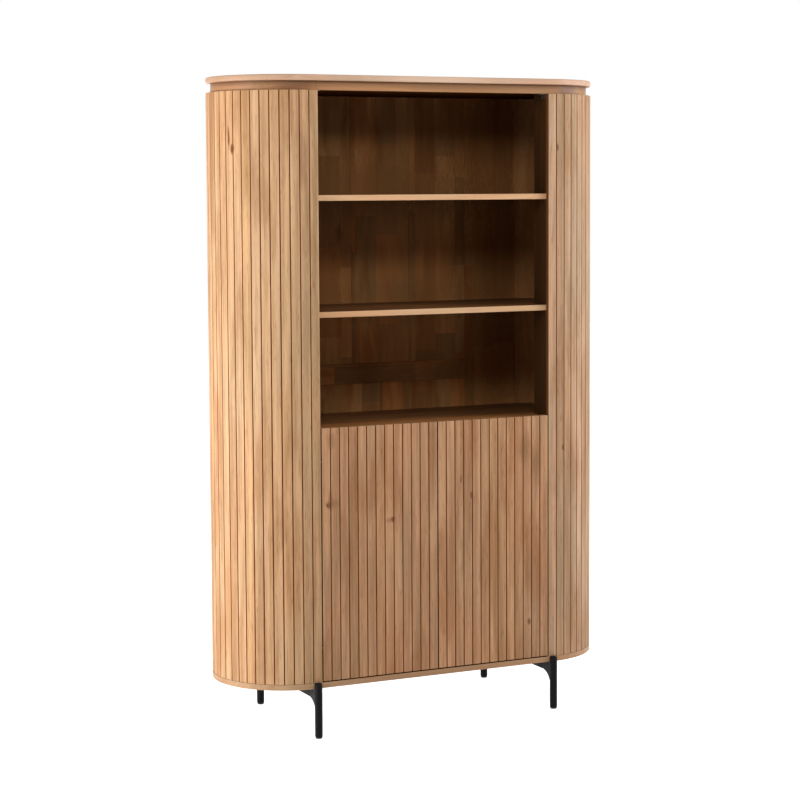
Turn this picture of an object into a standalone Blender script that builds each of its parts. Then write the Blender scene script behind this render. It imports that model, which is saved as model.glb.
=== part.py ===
"""Tall cabinet with rounded ends of upright slats: three open compartments over two doors, on tube legs.

Lengths are metres, +Z is up, the front faces -Y, and the origin is on the floor under the cabinet's middle.
In plan the body is a rectangle between two half circles. A place on an end is given by how far it lies
along the outer face from the edge of the opening, and how far it is set into the wood. A place on a door is
given by how far it lies in from the door's hinge edge and back from the slat faces.
"""

import math

import bmesh
import bpy
from mathutils import Matrix, Vector

# Fit between pieces that touch
GAP = 0.0003

# Slats and what they are glued to
SLAT_PITCH = 0.028
GROOVE = 0.003
SLAT_THICK = 0.0075
SLAT_CHAMFER = 0.001
END_BACKING = 0.006
DOOR_BACKING = 0.003
DOOR_SLATS = 13

# Body in plan
DEPTH = 0.436
END_RETURN = 0.018
SHELL_THICK = 0.018
SHELL_RETURN = 0.082
STAVES = 12
JAMB_DEPTH = 0.073
BACK_THICK = 0.020
BACK_MIDDLE = 0.572
BACK_BOARDS = 3
PLATE_FACETS = 32

# Heights, from the floor up
BASE_CLEARANCE = 0.141
BASE_THICK = 0.016
FLOOR_RISE = 0.002
CUPBOARD_SPACE = 0.702
SHELF_THICK = 0.016
LOWER_SPACE = 0.312
MIDDLE_SPACE = 0.310
UPPER_SPACE = 0.290
DECK_THICK = 0.026
TOP_THICK = 0.017
CUPBOARD_SHELF_RISE = 0.345
BACK_RAIL_RISE = 0.085
BACK_RAIL_HEIGHT = 0.061

# Softened edges
TOP_EDGE = 0.002
BOARD_EDGE = 0.001

# Doors
DOOR_THICK = 0.025
DOOR_CLEARANCE = 0.003
DIVIDER_SETBACK = 0.005
CUPBOARD_SHELF_SETBACK = 0.018

# Concealed hinges
PIVOT_IN = 0.0085
PIVOT_BACK = 0.0075
HINGE_FROM_END = 0.095
PIN_RADIUS = 0.002
PIN_LENGTH = 0.019
TONGUE_HALF = 0.004
TONGUE_THICK = 0.0025
TONGUE_PLAY = 0.0004
TONGUE_FACETS = 12
SLOT_SKIN = 0.002
SLOT_SIDE = 0.0008
ARM_REACH = 0.022
ARM_LENGTH = 0.038
ARM_WIDTH = 0.0145
ARM_HEIGHT = 0.011
PLATE_THICK = 0.0025
PLATE_HEIGHT = 0.034
CUP_IN = 0.022
CUP_RADIUS = 0.0175
CUP_DEPTH = 0.0125
CUP_WALL = 0.003
SOCKET_HEIGHT = 0.020
SOCKET_WALL = 0.0018
FLANGE_HEIGHT = 0.052
FLANGE_WIDTH = 0.012
FLANGE_THICK = 0.0012

# Push latches
LATCH_FROM_MIDDLE = 0.032
LATCH_WIDTH = 0.014
LATCH_HEIGHT = 0.015
LATCH_LENGTH = 0.060
LATCH_SETBACK = 0.002
PLUNGER_RADIUS = 0.0035
PLUNGER_LENGTH = 0.030
PLUNGER_TRAVEL = 0.003
STRIKE_WIDTH = 0.016
STRIKE_HEIGHT = 0.024
STRIKE_THICK = 0.0012

# Metal corners under the top
BRACKET_LEG = 0.014
BRACKET_WIDTH = 0.026
BRACKET_THICK = 0.0015
BRACKET_SETBACK = 0.003

# Leg frames
LEG_RADIUS = 0.011
LEG_SHIFT = 0.002
LEG_PROUD = 0.004
LEG_TOP_DROP = 0.001
LEG_EDGE = 0.001
WEB_THICK = 0.008
WEB_HEIGHT = 0.032
WEB_FILLET = 0.050
WEB_FACETS = 14
FLANGE_BAR_WIDTH = 0.030
FLANGE_BAR_THICK = 0.003
GLIDE_RADIUS = 0.0100
GLIDE_HEIGHT = 0.004
GLIDE_EDGE = 0.001
SCREW_RADIUS = 0.002
SCREW_LENGTH = 0.013
SCREW_HEAD_RADIUS = 0.0045
SCREW_HEAD_HEIGHT = 0.0025
SCREW_OFF_WEB = 0.0095
SCREW_FROM_END = 0.040

# Sizes worked out from those above
END_RADIUS = DEPTH / 2
FRONT = -END_RADIUS
OPENING_HALF = DOOR_SLATS * SLAT_PITCH
END_X = OPENING_HALF + END_RETURN
END_ARC = math.pi * END_RADIUS
END_SLATS = int((END_RETURN + END_ARC) / SLAT_PITCH)
END_SKIN = SLAT_THICK + END_BACKING
DOOR_SKIN = SLAT_THICK + DOOR_BACKING
JAMB_FACE = OPENING_HALF + GROOVE / 2
JAMB_FRONT = FRONT + END_SKIN + GAP
JAMB_BACK = JAMB_FRONT + JAMB_DEPTH
SHELL_INSET = END_SKIN + GAP
LINING_INSET = SHELL_INSET + SHELL_THICK
BACK_REAR = END_RADIUS - LINING_INSET - GAP
BACK_FACE = BACK_REAR - BACK_THICK

BASE_TOP = BASE_CLEARANCE + BASE_THICK
DIVIDER_LOW = BASE_TOP + CUPBOARD_SPACE
DIVIDER_TOP = DIVIDER_LOW + SHELF_THICK
LOWER_SHELF_LOW = DIVIDER_TOP + LOWER_SPACE
UPPER_SHELF_LOW = LOWER_SHELF_LOW + SHELF_THICK + MIDDLE_SPACE
DECK_LOW = UPPER_SHELF_LOW + SHELF_THICK + UPPER_SPACE
DECK_TOP = DECK_LOW + DECK_THICK
TOP_HEIGHT = DECK_TOP + TOP_THICK
BACK_RAIL_LOW = DIVIDER_TOP + BACK_RAIL_RISE

DOOR_EDGE = OPENING_HALF - GROOVE / 2
DOOR_MIDDLE = GROOVE / 2
DOOR_LOW = BASE_TOP + DOOR_CLEARANCE
DOOR_TOP = DIVIDER_TOP + DOOR_CLEARANCE
DOOR_REAR = FRONT + DOOR_THICK
DIVIDER_FRONT = DOOR_REAR + DIVIDER_SETBACK
SLOT_HEIGHT = TONGUE_THICK + 2 * TONGUE_PLAY
BORE_RADIUS = PIN_RADIUS + GAP
SOCKET_HALF = PIN_RADIUS + SOCKET_WALL
HINGE_LEVELS = {"lower": DOOR_LOW + HINGE_FROM_END, "upper": DOOR_TOP - HINGE_FROM_END}

LEG_X = END_X - LEG_SHIFT
LEG_Y = END_RADIUS + LEG_PROUD
WEB_LOW = BASE_CLEARANCE - GAP - WEB_HEIGHT
WEB_REACH = LEG_RADIUS + WEB_FILLET
RAIL_END = LEG_Y - WEB_REACH - GAP

SIDES = {"left": -1, "right": 1}
ENDS = {"front": -1, "rear": 1}

PARTS = None
CUTTERS = None
MATERIALS = {}


def clear_scene():
    """Leaves nothing of the startup scene, and makes one collection for the parts and one for the cutters."""
    global PARTS, CUTTERS
    for item in list(bpy.data.objects):
        bpy.data.objects.remove(item)
    PARTS = bpy.data.collections.new("slatted_cabinet")
    CUTTERS = bpy.data.collections.new("cutters")
    for collection in (PARTS, CUTTERS):
        bpy.context.scene.collection.children.link(collection)


def material(name, colour, roughness, metallic=0.0):
    """A plain finish, made once for each name."""
    if name not in MATERIALS:
        finish = bpy.data.materials.new(name)
        finish.use_nodes = True
        shader = finish.node_tree.nodes["Principled BSDF"]
        shader.inputs["Base Color"].default_value = (*colour, 1.0)
        shader.inputs["Roughness"].default_value = roughness
        shader.inputs["Metallic"].default_value = metallic
        finish.diffuse_color = (*colour, 1.0)
        MATERIALS[name] = finish
    return MATERIALS[name]


def slat_wood(name):
    return material(name, (0.60, 0.36, 0.19), 0.55)


def board_wood(name):
    return material(name, (0.50, 0.30, 0.16), 0.55)


def black_steel(name):
    return material(name, (0.012, 0.012, 0.013), 0.45, 0.2)


def bright_steel(name):
    return material(name, (0.55, 0.55, 0.56), 0.3, 1.0)


def grey_plastic(name):
    return material(name, (0.25, 0.25, 0.26), 0.5)


def placed(name, mesh, location=(0, 0, 0), rotation=(0, 0, 0), finish=None):
    """Puts a mesh in the parts, or in the cutters where it has no finish."""
    item = bpy.data.objects.new(name, mesh)
    item.location = location
    item.rotation_euler = rotation
    if finish:
        PARTS.objects.link(item)
        item.data.materials.append(finish(name))
    else:
        CUTTERS.objects.link(item)
        item.hide_render = True
        item.display_type = "WIRE"
    return item


def mesh_of(name, shape):
    mesh = bpy.data.meshes.new(name)
    bmesh.ops.recalc_face_normals(shape, faces=shape.faces)
    shape.to_mesh(mesh)
    shape.free()
    return mesh


def box(name, low, high, finish=None):
    """A block between two corners, with its origin at its middle."""
    low, high = Vector(map(min, low, high)), Vector(map(max, low, high))
    shape = bmesh.new()
    bmesh.ops.create_cube(shape, size=1.0, matrix=Matrix.Diagonal((*(high - low), 1.0)))
    return placed(name, mesh_of(name, shape), (low + high) / 2, finish=finish)


def rod(name, middle, radius, length, rotation=(0, 0, 0), sides=24, finish=None):
    """A plain cylinder, along Z before it is turned."""
    shape = bmesh.new()
    bmesh.ops.create_cone(shape, cap_ends=True, segments=sides, radius1=radius, radius2=radius, depth=length)
    item = placed(name, mesh_of(name, shape), middle, rotation, finish)
    return smooth(item)


def evaluated_mesh(item):
    """A mesh of its own, with the object's shape as its modifiers leave it."""
    bpy.context.view_layer.update()
    return bpy.data.meshes.new_from_object(item.evaluated_get(bpy.context.evaluated_depsgraph_get()))


def turned(name, profile, location, rotation=(0, 0, 0), sides=24, finish=None):
    """A turned piece. The profile runs down its outer side as (radius, height), from axis to axis."""
    shape = bmesh.new()
    corners = [shape.verts.new((radius, 0, height)) for radius, height in profile]
    for first, second in zip(corners, corners[1:]):
        shape.edges.new((first, second))
    mesh = bpy.data.meshes.new(name)
    shape.to_mesh(mesh)
    shape.free()
    item = placed(name, mesh, location, rotation, finish)
    screw = item.modifiers.new("turn", "SCREW")
    screw.steps = screw.render_steps = sides
    screw.use_merge_vertices = True
    screw.merge_threshold = 0.00001
    item.data = evaluated_mesh(item)
    item.modifiers.remove(screw)
    return smooth(item)


def extruded(name, outline, thickness, location=(0, 0, 0), rotation=(0, 0, 0), finish=None):
    """A flat outline given thickness both ways from its own plane, welded, with one face on each flat."""
    curve = bpy.data.curves.new(name, "CURVE")
    curve.dimensions = "2D"
    curve.fill_mode = "BOTH"
    curve.extrude = thickness / 2
    spline = curve.splines.new("POLY")
    spline.points.add(len(outline) - 1)
    for point, (across, up) in zip(spline.points, outline):
        point.co = (across, up, 0, 1)
    spline.use_cyclic_u = True
    flat = bpy.data.objects.new(name + "_outline", curve)
    CUTTERS.objects.link(flat)
    mesh = evaluated_mesh(flat)
    bpy.data.objects.remove(flat)
    shape = bmesh.new()
    shape.from_mesh(mesh)
    bpy.data.meshes.remove(mesh)
    bmesh.ops.remove_doubles(shape, verts=shape.verts, dist=0.00001)
    caps = [face for face in shape.faces if len({corner.co.z > 0 for corner in face.verts}) == 1]
    bmesh.ops.delete(shape, geom=caps, context="FACES")
    bmesh.ops.holes_fill(shape, edges=[edge for edge in shape.edges if edge.is_boundary])
    return placed(name, mesh_of(name, shape), location, rotation, finish)


def upright(name, outline, low, high, finish=None):
    """A plan outline raised from one height to another."""
    return extruded(name, outline, high - low, (0, 0, (low + high) / 2), finish=finish)


def smooth(item, angle=35):
    item.data.shade_smooth()
    item.data.set_sharp_from_angle(angle=math.radians(angle))
    return item


def soften(item, width, segments=1):
    """Breaks the square edges of a piece and leaves the shallow facets of its curves."""
    bevel = item.modifiers.new("edge", "BEVEL")
    bevel.width = width
    bevel.segments = segments
    bevel.limit_method = "ANGLE"
    bevel.angle_limit = math.radians(50)
    return item


def boolean(item, operation, *others):
    for other in others:
        step = item.modifiers.new(other.name, "BOOLEAN")
        step.operation = operation
        step.object = other
    return item


def cut(item, *cutters):
    return boolean(item, "DIFFERENCE", *cutters)


def join(item, *helpers):
    return boolean(item, "UNION", *helpers)


def hang(pivot, *pieces):
    """Parents pieces to a pivot and leaves them where they are."""
    for piece in pieces:
        piece.parent = pivot
        piece.matrix_parent_inverse = Matrix.Translation(pivot.location).inverted()


def end_point(side, along, inset):
    """Plan point on a rounded end."""
    turn = (along - END_RETURN) / END_RADIUS
    radius = END_RADIUS - inset
    if turn <= 0:
        return side * (OPENING_HALF + along), -radius
    if turn >= math.pi:
        return side * (END_X + END_RETURN + END_ARC - along), radius
    return side * (END_X + radius * math.sin(turn)), -radius * math.cos(turn)


def door_point(side, inward, back):
    """Plan point on a door."""
    return side * (DOOR_EDGE - inward), FRONT + back


def stadium(inset):
    """Plan outline of the whole body, a given way in from the slat faces."""
    turns = [math.pi * number / PLATE_FACETS for number in range(PLATE_FACETS + 1)]
    radius = END_RADIUS - inset
    right = [(END_X + radius * math.sin(turn), -radius * math.cos(turn)) for turn in turns]
    return right + [(-x, -y) for x, y in right]


def slat_row(place, count, depth, knots):
    """Plan outline of upright slats with chamfered edges, standing on one backing with a plain rear face."""
    outline = []
    for number in range(count):
        start = number * SLAT_PITCH + GROOVE / 2
        end = start + SLAT_PITCH - GROOVE
        outline += [place(start, SLAT_THICK), place(start, SLAT_CHAMFER), place(start + SLAT_CHAMFER, 0)]
        outline += [place(end - SLAT_CHAMFER, 0), place(end, SLAT_CHAMFER), place(end, SLAT_THICK)]
    last = count * SLAT_PITCH - GROOVE / 2
    rear = [GROOVE / 2] + [knot for knot in knots if GROOVE / 2 < knot < last] + [last]
    return outline + [place(along, depth) for along in reversed(rear)]


def end_knots():
    """Where the back of an end's slat skin changes direction: the start of the curve, then each groove."""
    grooves = [number * SLAT_PITCH for number in range(END_SLATS + 1)]
    return [END_RETURN] + [along for along in grooves if along > END_RETURN]


def stave_corners(side, inset):
    """Plan corners of the flat staves that line a rounded end, from front to back."""
    return [end_point(side, END_RETURN + END_ARC * number / STAVES, inset) for number in range(STAVES + 1)]


def lining(side, low, high):
    """Plan points that follow the lining of an end from one depth to another, clear of it by the gap."""
    corners = stave_corners(side, LINING_INSET + GAP)
    points = []
    for (x_start, y_start), (x_end, y_end) in zip(corners, corners[1:]):
        enter = max(0.0, (low - y_start) / (y_end - y_start))
        leave = min(1.0, (high - y_start) / (y_end - y_start))
        if enter >= leave:
            continue
        for share in (enter, leave):
            point = (x_start + share * (x_end - x_start), y_start + share * (y_end - y_start))
            if not points or math.dist(points[-1], point) > GAP / 10:
                points.append(point)
    return points


def inner_board(front):
    """Plan outline of a board that fits between the posts, and behind them reaches into both rounded ends."""
    notch = JAMB_BACK + GAP
    right = [(JAMB_FACE - GAP, front), (JAMB_FACE - GAP, notch)] + lining(1, notch, BACK_FACE - GAP)
    return right + [(-x, y) for x, y in reversed(right)]


def make_plates():
    """The overhanging top, the set-back board under it, and the base plate with a notch for each leg.

    The base plate is rebated round its rim, where the ends, posts and back stand.
    Its middle is the cupboard's floor.
    """
    soften(upright("top_plate", stadium(0), DECK_TOP + GAP, TOP_HEIGHT, slat_wood), TOP_EDGE, 2)
    upright("top_deck", stadium(END_SKIN), DECK_LOW, DECK_TOP, board_wood)
    base = soften(upright("base_plate", stadium(0), BASE_CLEARANCE, BASE_TOP, slat_wood), BOARD_EDGE)
    low, high = BASE_CLEARANCE + BASE_THICK / 2, BASE_TOP + FLOOR_RISE
    join(base, upright("cupboard_floor", inner_board(DIVIDER_FRONT), low, high))
    for end, toward in ENDS.items():
        for side, way in SIDES.items():
            middle = (way * LEG_X, toward * LEG_Y, BASE_CLEARANCE)
            cut(base, rod(f"{end}_{side}_leg_notch", middle, LEG_RADIUS + GAP, 4 * BASE_THICK, sides=32))
            hole = (*screw_place(way, toward), BASE_CLEARANCE)
            reach = 2 * (SCREW_LENGTH - FLANGE_BAR_THICK)
            cut(base, rod(f"{end}_{side}_screw_hole", hole, SCREW_RADIUS + GAP, reach, sides=16))


def make_end(side):
    """One rounded end: a shell of staves, the post beside the opening, and the slat skin over both."""
    way = SIDES[side]
    low, high = BASE_TOP + GAP, DECK_LOW - GAP
    rear_end = END_RETURN + END_ARC + SHELL_RETURN
    outer = [end_point(way, along, SHELL_INSET) for along in end_knots() + [END_RETURN + END_ARC, rear_end]]
    inner = stave_corners(way, LINING_INSET) + [end_point(way, rear_end, LINING_INSET)]
    upright(f"{side}_end_shell", outer + inner[::-1], low, high, board_wood)
    skin = slat_row(lambda along, inset: end_point(way, along, inset), END_SLATS, END_SKIN, end_knots())
    upright(f"{side}_end_slats", skin, low, DECK_LOW, slat_wood)
    post_low = (way * JAMB_FACE, JAMB_FRONT, low)
    post_high = (way * (END_X - GAP), JAMB_BACK, high)
    soften(box(f"{side}_door_post", post_low, post_high, board_wood), BOARD_EDGE)


def make_back():
    """Upright back boards in two lengths, parted by a level rail, and one long board at each side of them."""
    width = BACK_MIDDLE / BACK_BOARDS
    half = BACK_MIDDLE / 2
    rail_top = BACK_RAIL_LOW + BACK_RAIL_HEIGHT
    levels = {"lower": (BASE_TOP + GAP, BACK_RAIL_LOW), "upper": (rail_top, DECK_LOW - GAP)}
    for level, (low, high) in levels.items():
        for number in range(BACK_BOARDS):
            left = number * width - half
            name = f"{level}_back_board_{number + 1}"
            board = box(name, (left + GAP, BACK_FACE, low), (left + width, BACK_REAR, high), board_wood)
            soften(board, BOARD_EDGE)
    rail_low, rail_high = BACK_RAIL_LOW + GAP, rail_top - GAP
    rail = box("back_rail", (GAP - half, BACK_FACE, rail_low), (half, BACK_REAR, rail_high), board_wood)
    soften(rail, BOARD_EDGE)
    for side, way in SIDES.items():
        start = half + GAP
        outline = [(way * start, BACK_REAR), (way * start, BACK_FACE)] + lining(way, BACK_FACE, BACK_REAR)
        board = upright(f"{side}_back_board", outline, BASE_TOP + GAP, DECK_LOW - GAP, board_wood)
        soften(board, BOARD_EDGE)


def make_shelf(name, low, front):
    soften(upright(name, inner_board(front), low, low + SHELF_THICK, board_wood), BOARD_EDGE)


def make_shelves():
    carcass_front = FRONT + END_SKIN
    make_shelf("upper_shelf", UPPER_SHELF_LOW, carcass_front)
    make_shelf("lower_shelf", LOWER_SHELF_LOW, carcass_front)
    make_shelf("divider", DIVIDER_LOW, DIVIDER_FRONT)
    make_shelf("cupboard_shelf", BASE_TOP + CUPBOARD_SHELF_RISE, DOOR_REAR + CUPBOARD_SHELF_SETBACK)


def make_brackets():
    """A small angle in each top corner of the opening, on the post and under the top."""
    for side, way in SIDES.items():
        face, ceiling = JAMB_FACE - GAP, DECK_LOW - GAP
        inner = face - BRACKET_THICK
        tip, under = face - BRACKET_LEG, ceiling - BRACKET_THICK
        angle = [(face, ceiling), (tip, ceiling), (tip, under)]
        angle += [(inner, under), (inner, ceiling - BRACKET_LEG), (face, ceiling - BRACKET_LEG)]
        middle = JAMB_FRONT + BRACKET_SETBACK + BRACKET_WIDTH / 2
        outline = [(way * across, up) for across, up in angle]
        turn = (math.radians(90), 0, 0)
        extruded(f"{side}_corner_bracket", outline, BRACKET_WIDTH, (0, middle, 0), turn, bright_steel)


def hinge_block(name, side, inward, back, level, height, finish=None):
    """A block on or beside a door, between two distances inward and two distances back."""
    way = SIDES[side]
    low = (*door_point(way, inward[0], back[0]), level - height / 2)
    high = (*door_point(way, inward[1], back[1]), level + height / 2)
    return box(name, low, high, finish)


def hinge_disc(name, side, radius, back, level, finish=None):
    """A round piece or cutter on the cup's axis, between two distances back."""
    x, y = door_point(SIDES[side], CUP_IN, (back[0] + back[1]) / 2)
    quarter = (math.radians(90), 0, 0)
    return rod(name, (x, y, level), radius, back[1] - back[0], quarter, 32, finish)


def make_hinge_cutters(side, at, level):
    """What the door's board and slats lose for one hinge: the cup, the pin socket and the tongue's slot."""
    name = f"{side}_{at}"
    past = DOOR_THICK + CUP_WALL
    recess = (DOOR_THICK - CUP_DEPTH - GAP, past)
    cup = hinge_disc(f"{name}_cup_recess", side, CUP_RADIUS + GAP, recess, level)
    inward = (PIVOT_IN - SOCKET_HALF - GAP, PIVOT_IN + SOCKET_HALF + GAP)
    back = (PIVOT_BACK - PIN_RADIUS - 2 * GAP - SOCKET_WALL / 2, past)
    socket = hinge_block(f"{name}_socket_recess", side, inward, back, level, SOCKET_HEIGHT + 2 * GAP)
    reach = PIVOT_IN + TONGUE_HALF + SLOT_SIDE
    slot = hinge_block(f"{name}_slot", side, (-PIVOT_IN, reach), (SLOT_SKIN, 2 * past), level, SLOT_HEIGHT)
    return cup, socket, slot


def make_hinge(side, at, level, slot):
    """One hinge: a cup and pin that stay in the door, and an arm on the post whose tongue carries the pin."""
    name = f"{side}_{at}"
    way = SIDES[side]
    rim = DOOR_THICK + GAP + FLANGE_THICK
    pivot = (*door_point(way, PIVOT_IN, PIVOT_BACK), level)
    bore = rod(f"{name}_pin_bore", pivot, BORE_RADIUS, 2 * SOCKET_HEIGHT, sides=16)

    cup_floor = DOOR_THICK - CUP_DEPTH
    cup = hinge_disc(f"{name}_hinge_cup", side, CUP_RADIUS, (cup_floor, rim - GAP), level, bright_steel)
    wings = (CUP_IN - FLANGE_WIDTH / 2, CUP_IN + FLANGE_WIDTH / 2)
    flange = hinge_block(f"{name}_cup_flange", side, wings, (rim - FLANGE_THICK, rim), level, FLANGE_HEIGHT)
    bowl = hinge_disc(f"{name}_cup_bowl", side, CUP_RADIUS - CUP_WALL, (cup_floor + CUP_WALL, 2 * rim), level)
    inward = (PIVOT_IN - SOCKET_HALF, PIVOT_IN + SOCKET_HALF)
    back = (PIVOT_BACK - PIN_RADIUS - GAP - SOCKET_WALL / 2, DOOR_THICK)
    socket = hinge_block(f"{name}_pin_socket", side, inward, back, level, SOCKET_HEIGHT)
    cut(join(cut(join(cup, flange), bowl), socket), slot, bore)
    pin = rod(f"{name}_hinge_pin", pivot, PIN_RADIUS, PIN_LENGTH, sides=16, finish=bright_steel)

    arm_start = PIVOT_BACK + ARM_REACH
    arm_end = arm_start + ARM_LENGTH
    wall = GAP - GROOVE
    tip = [math.pi * number / TONGUE_FACETS for number in range(TONGUE_FACETS + 1)]
    tongue = [(TONGUE_HALF * math.cos(turn), -TONGUE_HALF * math.sin(turn)) for turn in tip]
    tongue += [(-TONGUE_HALF, (arm_start + arm_end) / 2), (TONGUE_HALF, (arm_start + arm_end) / 2)]
    arm = extruded(f"{name}_hinge_arm", tongue, TONGUE_THICK, pivot, finish=bright_steel)
    across = (wall + PLATE_THICK / 2, wall + ARM_WIDTH)
    body = hinge_block(f"{name}_arm_body", side, across, (arm_start, arm_end), level, ARM_HEIGHT)
    soften(body, ARM_HEIGHT / 5, 2)
    along = (arm_start + GROOVE, arm_end - GROOVE)
    plate = hinge_block(f"{name}_arm_plate", side, (wall, wall + PLATE_THICK), along, level, PLATE_HEIGHT)
    cut(join(arm, body, plate), bore)
    return cup, pin


def make_door(side):
    """One door: a board with slats on its face, two hinges and its latch's strike plate, on one pivot."""
    way = SIDES[side]
    turn = bpy.data.objects.new(f"{side}_door_pivot", None)
    turn.location = (*door_point(way, PIVOT_IN, PIVOT_BACK), (DOOR_LOW + DOOR_TOP) / 2)
    PARTS.objects.link(turn)

    board_low = (*door_point(way, 0, DOOR_SKIN + GAP), DOOR_LOW)
    board_high = (way * DOOR_MIDDLE, DOOR_REAR, DOOR_TOP)
    board = box(f"{side}_door_board", board_low, board_high, board_wood)

    def face_point(along, inset):
        return door_point(way, along - GROOVE / 2, inset)

    outline = slat_row(face_point, DOOR_SLATS, DOOR_SKIN, [])
    slats = upright(f"{side}_door_slats", outline, DOOR_LOW, DOOR_TOP, slat_wood)
    pieces = [board, slats]
    for at, level in HINGE_LEVELS.items():
        cup, socket, slot = make_hinge_cutters(side, at, level)
        cut(board, cup, socket, slot)
        cut(slats, socket, slot)
        pieces += make_hinge(side, at, level, slot)
    pieces.append(make_strike(side))
    hang(turn, *pieces)


def latch_level():
    """Height of the latches' middle."""
    return DIVIDER_LOW - GAP - LATCH_HEIGHT / 2


def make_strike(side):
    """The steel plate on a door's rear face that its latch plunger touches."""
    middle = SIDES[side] * LATCH_FROM_MIDDLE
    rear = DOOR_REAR + GAP
    low = (middle - STRIKE_WIDTH / 2, rear, latch_level() - STRIKE_HEIGHT / 2)
    high = (middle + STRIKE_WIDTH / 2, rear + STRIKE_THICK, latch_level() + STRIKE_HEIGHT / 2)
    return box(f"{side}_strike_plate", low, high, bright_steel)


def make_latch(side):
    """A push latch under the divider: its body, and the sprung plunger that slides back into it."""
    middle = SIDES[side] * LATCH_FROM_MIDDLE
    front = DIVIDER_FRONT + LATCH_SETBACK
    low = (middle - LATCH_WIDTH / 2, front, latch_level() - LATCH_HEIGHT / 2)
    high = (middle + LATCH_WIDTH / 2, front + LATCH_LENGTH, latch_level() + LATCH_HEIGHT / 2)
    body = soften(box(f"{side}_latch_body", low, high, grey_plastic), BOARD_EDGE)
    tip = DOOR_REAR + 2 * GAP + STRIKE_THICK
    bore_end = tip + PLUNGER_LENGTH + 2 * PLUNGER_TRAVEL
    quarter = (math.radians(90), 0, 0)
    bore_length = 2 * (bore_end - front)
    bore_middle = (middle, front, latch_level())
    cut(body, rod(f"{side}_plunger_bore", bore_middle, PLUNGER_RADIUS + GAP, bore_length, quarter, 20))
    nose, rear = PLUNGER_RADIUS / 2, -PLUNGER_LENGTH
    profile = [(0, 0), (nose, 0), (PLUNGER_RADIUS, -nose), (PLUNGER_RADIUS, rear), (0, rear)]
    turned(f"{side}_latch_plunger", profile, (middle, tip, latch_level()), quarter, 20, grey_plastic)


def screw_place(way, toward):
    """Plan place of the screw near one end of a rail, on the outer half of its flat strip."""
    return way * (LEG_X + SCREW_OFF_WEB), toward * (RAIL_END - SCREW_FROM_END)


def make_leg(end, side):
    """One leg: a tube that rises past the base plate's edge, with a web that sweeps into the rail."""
    toward, way = ENDS[end], SIDES[side]
    low, high = GLIDE_HEIGHT + GAP, BASE_TOP - LEG_TOP_DROP
    foot = (way * LEG_X, toward * LEG_Y, 0)
    tube = rod(f"{end}_{side}_leg", (*foot[:2], (low + high) / 2), LEG_RADIUS, high - low, finish=black_steel)
    soften(tube, LEG_EDGE)
    turns = [math.pi / 2 * number / WEB_FACETS for number in range(WEB_FACETS + 1)]
    sweep = [(WEB_REACH - WEB_FILLET * math.sin(t), WEB_LOW - WEB_FILLET * (1 - math.cos(t))) for t in turns]
    outline = [(0, WEB_LOW + WEB_HEIGHT), (WEB_REACH, WEB_LOW + WEB_HEIGHT)] + sweep + [(0, sweep[-1][1])]
    outline = [(-toward * away, up) for away, up in outline]
    web = extruded(f"{end}_{side}_web", outline, WEB_THICK, foot, (math.radians(90), 0, math.radians(90)))
    join(tube, web)
    edge = GLIDE_EDGE
    profile = [(0, GLIDE_HEIGHT), (GLIDE_RADIUS, GLIDE_HEIGHT), (GLIDE_RADIUS, edge)]
    profile += [(GLIDE_RADIUS - edge, 0), (0, 0)]
    turned(f"{end}_{side}_glide", profile, foot, finish=grey_plastic)


def make_rail(side):
    """The bar between a front and a rear leg: an upright web under a strip that is screwed to the base."""
    way = SIDES[side]
    top, half, web = WEB_LOW + WEB_HEIGHT, FLANGE_BAR_WIDTH / 2, WEB_THICK / 2
    under = top - FLANGE_BAR_THICK
    outline = [(-half, top), (half, top), (half, under), (web, under), (web, WEB_LOW)]
    outline += [(-web, WEB_LOW), (-web, under), (-half, under)]
    turn = (math.radians(90), 0, 0)
    rail = extruded(f"{side}_rail", outline, 2 * RAIL_END, (way * LEG_X, 0, 0), turn, black_steel)
    head, tip = -SCREW_HEAD_HEIGHT, SCREW_LENGTH - GAP - SCREW_RADIUS
    profile = [(0, tip), (SCREW_RADIUS, tip - SCREW_RADIUS), (SCREW_RADIUS, 0), (SCREW_HEAD_RADIUS, 0)]
    profile += [(SCREW_HEAD_RADIUS, head / 2), (SCREW_HEAD_RADIUS / 2, head), (0, head)]
    for end, toward in ENDS.items():
        place = screw_place(way, toward)
        name = f"{end}_{side}_rail"
        cut(rail, rod(f"{name}_hole", (*place, top), SCREW_RADIUS + GAP, 4 * FLANGE_BAR_THICK, sides=16))
        turned(f"{name}_screw", profile, (*place, under - GAP), sides=16, finish=bright_steel)


def main():
    clear_scene()
    make_plates()
    for side in SIDES:
        make_end(side)
        make_door(side)
        make_latch(side)
        make_rail(side)
        for end in ENDS:
            make_leg(end, side)
    make_back()
    make_shelves()
    make_brackets()


main()
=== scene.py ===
"""Looks of the tall slatted cabinet, made with Blender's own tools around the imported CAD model.

Lengths are metres, +Z is up, the front faces -Y, and the origin is on the floor under the cabinet's middle.
Each sub-assembly is a class that models its pieces and dresses them. Each finish is a small frozen class
that makes its material. The studio holds the camera, the lamps, the floor and the background.
"""

import logging
import math
import random
from dataclasses import dataclass, replace
from enum import Enum
from typing import Any, Callable, Iterable, Sequence

import bmesh
import bpy
from mathutils import Matrix, Vector


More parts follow.
